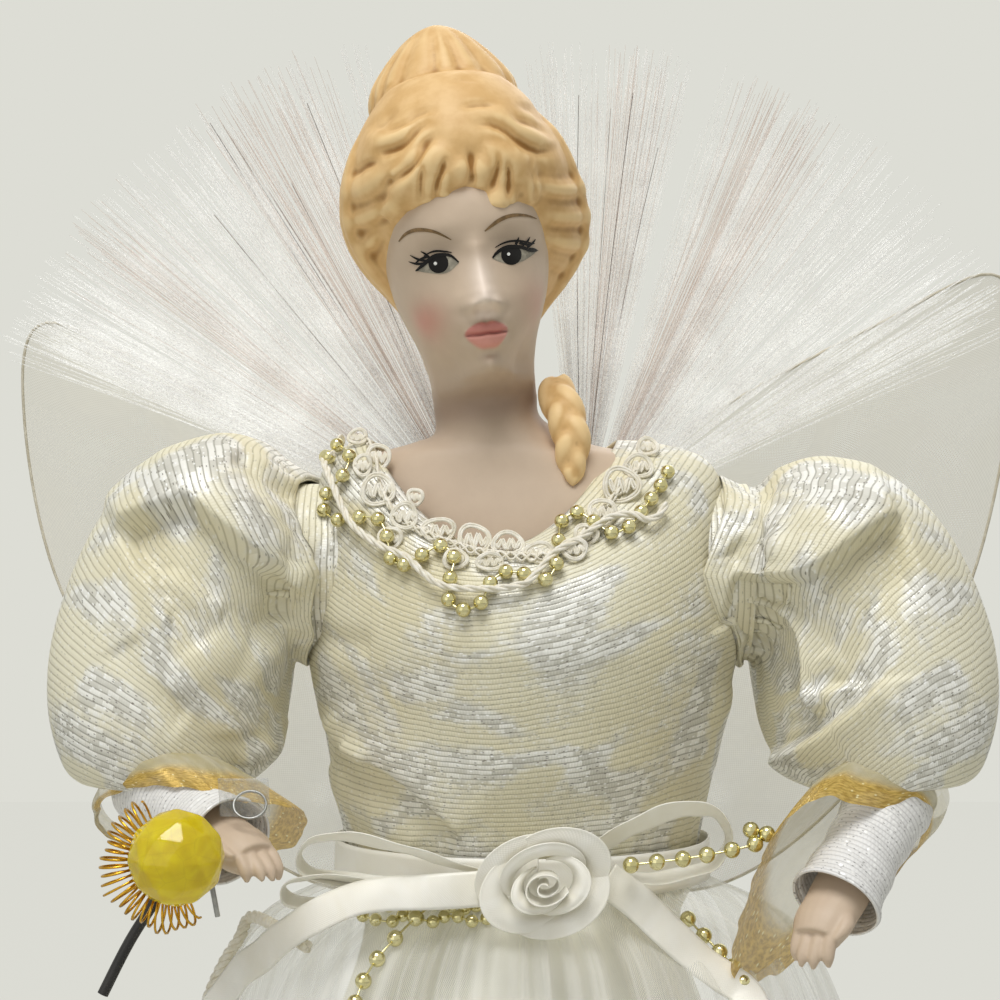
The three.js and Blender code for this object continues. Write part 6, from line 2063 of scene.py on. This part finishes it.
def build_wing(name, side):
    rim = [Vector(point) for point in [*WING_RIM, WING_RIM[0]]]
    hub = Vector(WING_HUB)

    def place(u, v):
        flat = hub.lerp(along(rim, u), 0.02 + 0.98 * v)
        return wing_place(side, flat.x, flat.y)

    panel = put(name + "_panel_cloth", bent_grid(150, 40, place, (0.3, 0.08), True), WING_ORGANZA)
    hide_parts(name + "_panel")
    edge = [wing_place(side, *along(rim, k / 110)) for k in range(110)]
    wire = threads(name + "_edge", [edge], 0.3 * MM, WRAPPED_WIRE, closed=True, fineness=3)
    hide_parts(name + "_wire")


for fan in FANS:
    build_fan(*fan)
build_wing("left_wing", -1)
build_wing("right_wing", 1)

# Solids that stay as they are, with their finishes
SOLID_FINISHES = {
    "base_cone": WHITE_PLASTIC,
    "light_housing": BLACK_PLASTIC,
    "lamp_holder": BLACK_PLASTIC,
    "lamp": LAMP_GLASS,
    "reflector": ALUMINIUM,
    "colour_wheel": CLEAR_FILM,
    "wheel_shaft": ALUMINIUM,
    "wheel_motor": ALUMINIUM,
    "motor_bracket": ALUMINIUM,
    "fibre_ferrule": BRASS,
    "fibre_trunk": FIBRE,
    "torso_form": STUFFED_CLOTH,
    "left_arm_wire": STEEL,
    "right_arm_wire": STEEL,
    "left_shoulder_pin": ALUMINIUM,
    "right_shoulder_pin": ALUMINIUM,
    "wing_clamp": WHITE_PLASTIC,
}
for name, material in SOLID_FINISHES.items():
    for material_slot in nodes[name].material_slots:
        material_slot.material = material


# Light, floor and background
CHEST = Vector((0, 0, 0.25))
# Each lamp: place, size in metres, power in watts
LAMPS = {
    "key": ((-0.12, -0.44, 1.32), 0.6, 9.6),
    "fill": ((-0.7, -0.95, 0.5), 1.0, 1.6),
    "back": ((0.3, 0.9, 0.9), 0.8, 4.0),
}
SOFT_LIGHT = 0.31
BACKDROP = paint(221, 221, 213)
FLOOR_SHADE = paint(216, 216, 208)


def area_lamp(name, place, size, power):
    """Square lamp that is aimed at the chest."""
    data = bpy.data.lights.new(name, "AREA")
    data.size = size
    data.energy = power
    lamp = bpy.data.objects.new(name, data)
    lamp.location = place
    lamp.rotation_euler = (CHEST - Vector(place)).to_track_quat("-Z", "Y").to_euler()
    scene.collection.objects.link(lamp)


def build_surroundings():
    for name, lamp in LAMPS.items():
        area_lamp(name, *lamp)
    world = bpy.data.worlds.new("studio")
    world.use_nodes = True
    scene.world = world
    tree = world.node_tree
    tree.nodes.clear()
    rays = node(tree, "LightPath").outputs
    shown = calc(tree, "MAXIMUM", rays["Is Camera Ray"], rays["Is Transmission Ray"])
    shown = calc(tree, "MAXIMUM", shown, rays["Is Glossy Ray"])
    soft = node(tree, "Background", {0: (1, 1, 1, 1), 1: SOFT_LIGHT}).outputs[0]
    wall = node(tree, "Background", {0: BACKDROP, 1: 1.0}).outputs[0]
    both = node(tree, "MixShader", {0: shown, 1: soft, 2: wall}).outputs[0]
    node(tree, "OutputWorld", {0: both})
    bm = bmesh.new()
    bmesh.ops.create_grid(bm, x_segments=1, y_segments=1, size=1.5)
    mesh = bpy.data.meshes.new("floor")
    bm.to_mesh(mesh)
    bm.free()
    material, tree, shader = finish("pale floor", Roughness=0.9)
    values = {"Vector": place_on(tree, "Object"), "Scale": 3.0, "Colour": BACKDROP, "Shade": FLOOR_SHADE}
    wire_up(tree, shader, {"Base Color": placed_group(tree, MOTTLE, values)["Colour"]})
    plain = node(tree, "Emission", {0: BACKDROP, 1: 1.0}).outputs[0]
    shown = calc(tree, "MULTIPLY", node(tree, "LightPath").outputs["Is Camera Ray"], 0.95)
    both = node(tree, "MixShader", {0: shown, 1: shader.outputs[0], 2: plain}).outputs[0]
    wire_up(tree, tree.nodes["Material Output"], {0: both})
    mesh.materials.append(material)
    floor = bpy.data.objects.new("floor", mesh)
    scene.collection.objects.link(floor)
    scene.view_settings.view_transform = "Standard"


build_surroundings()
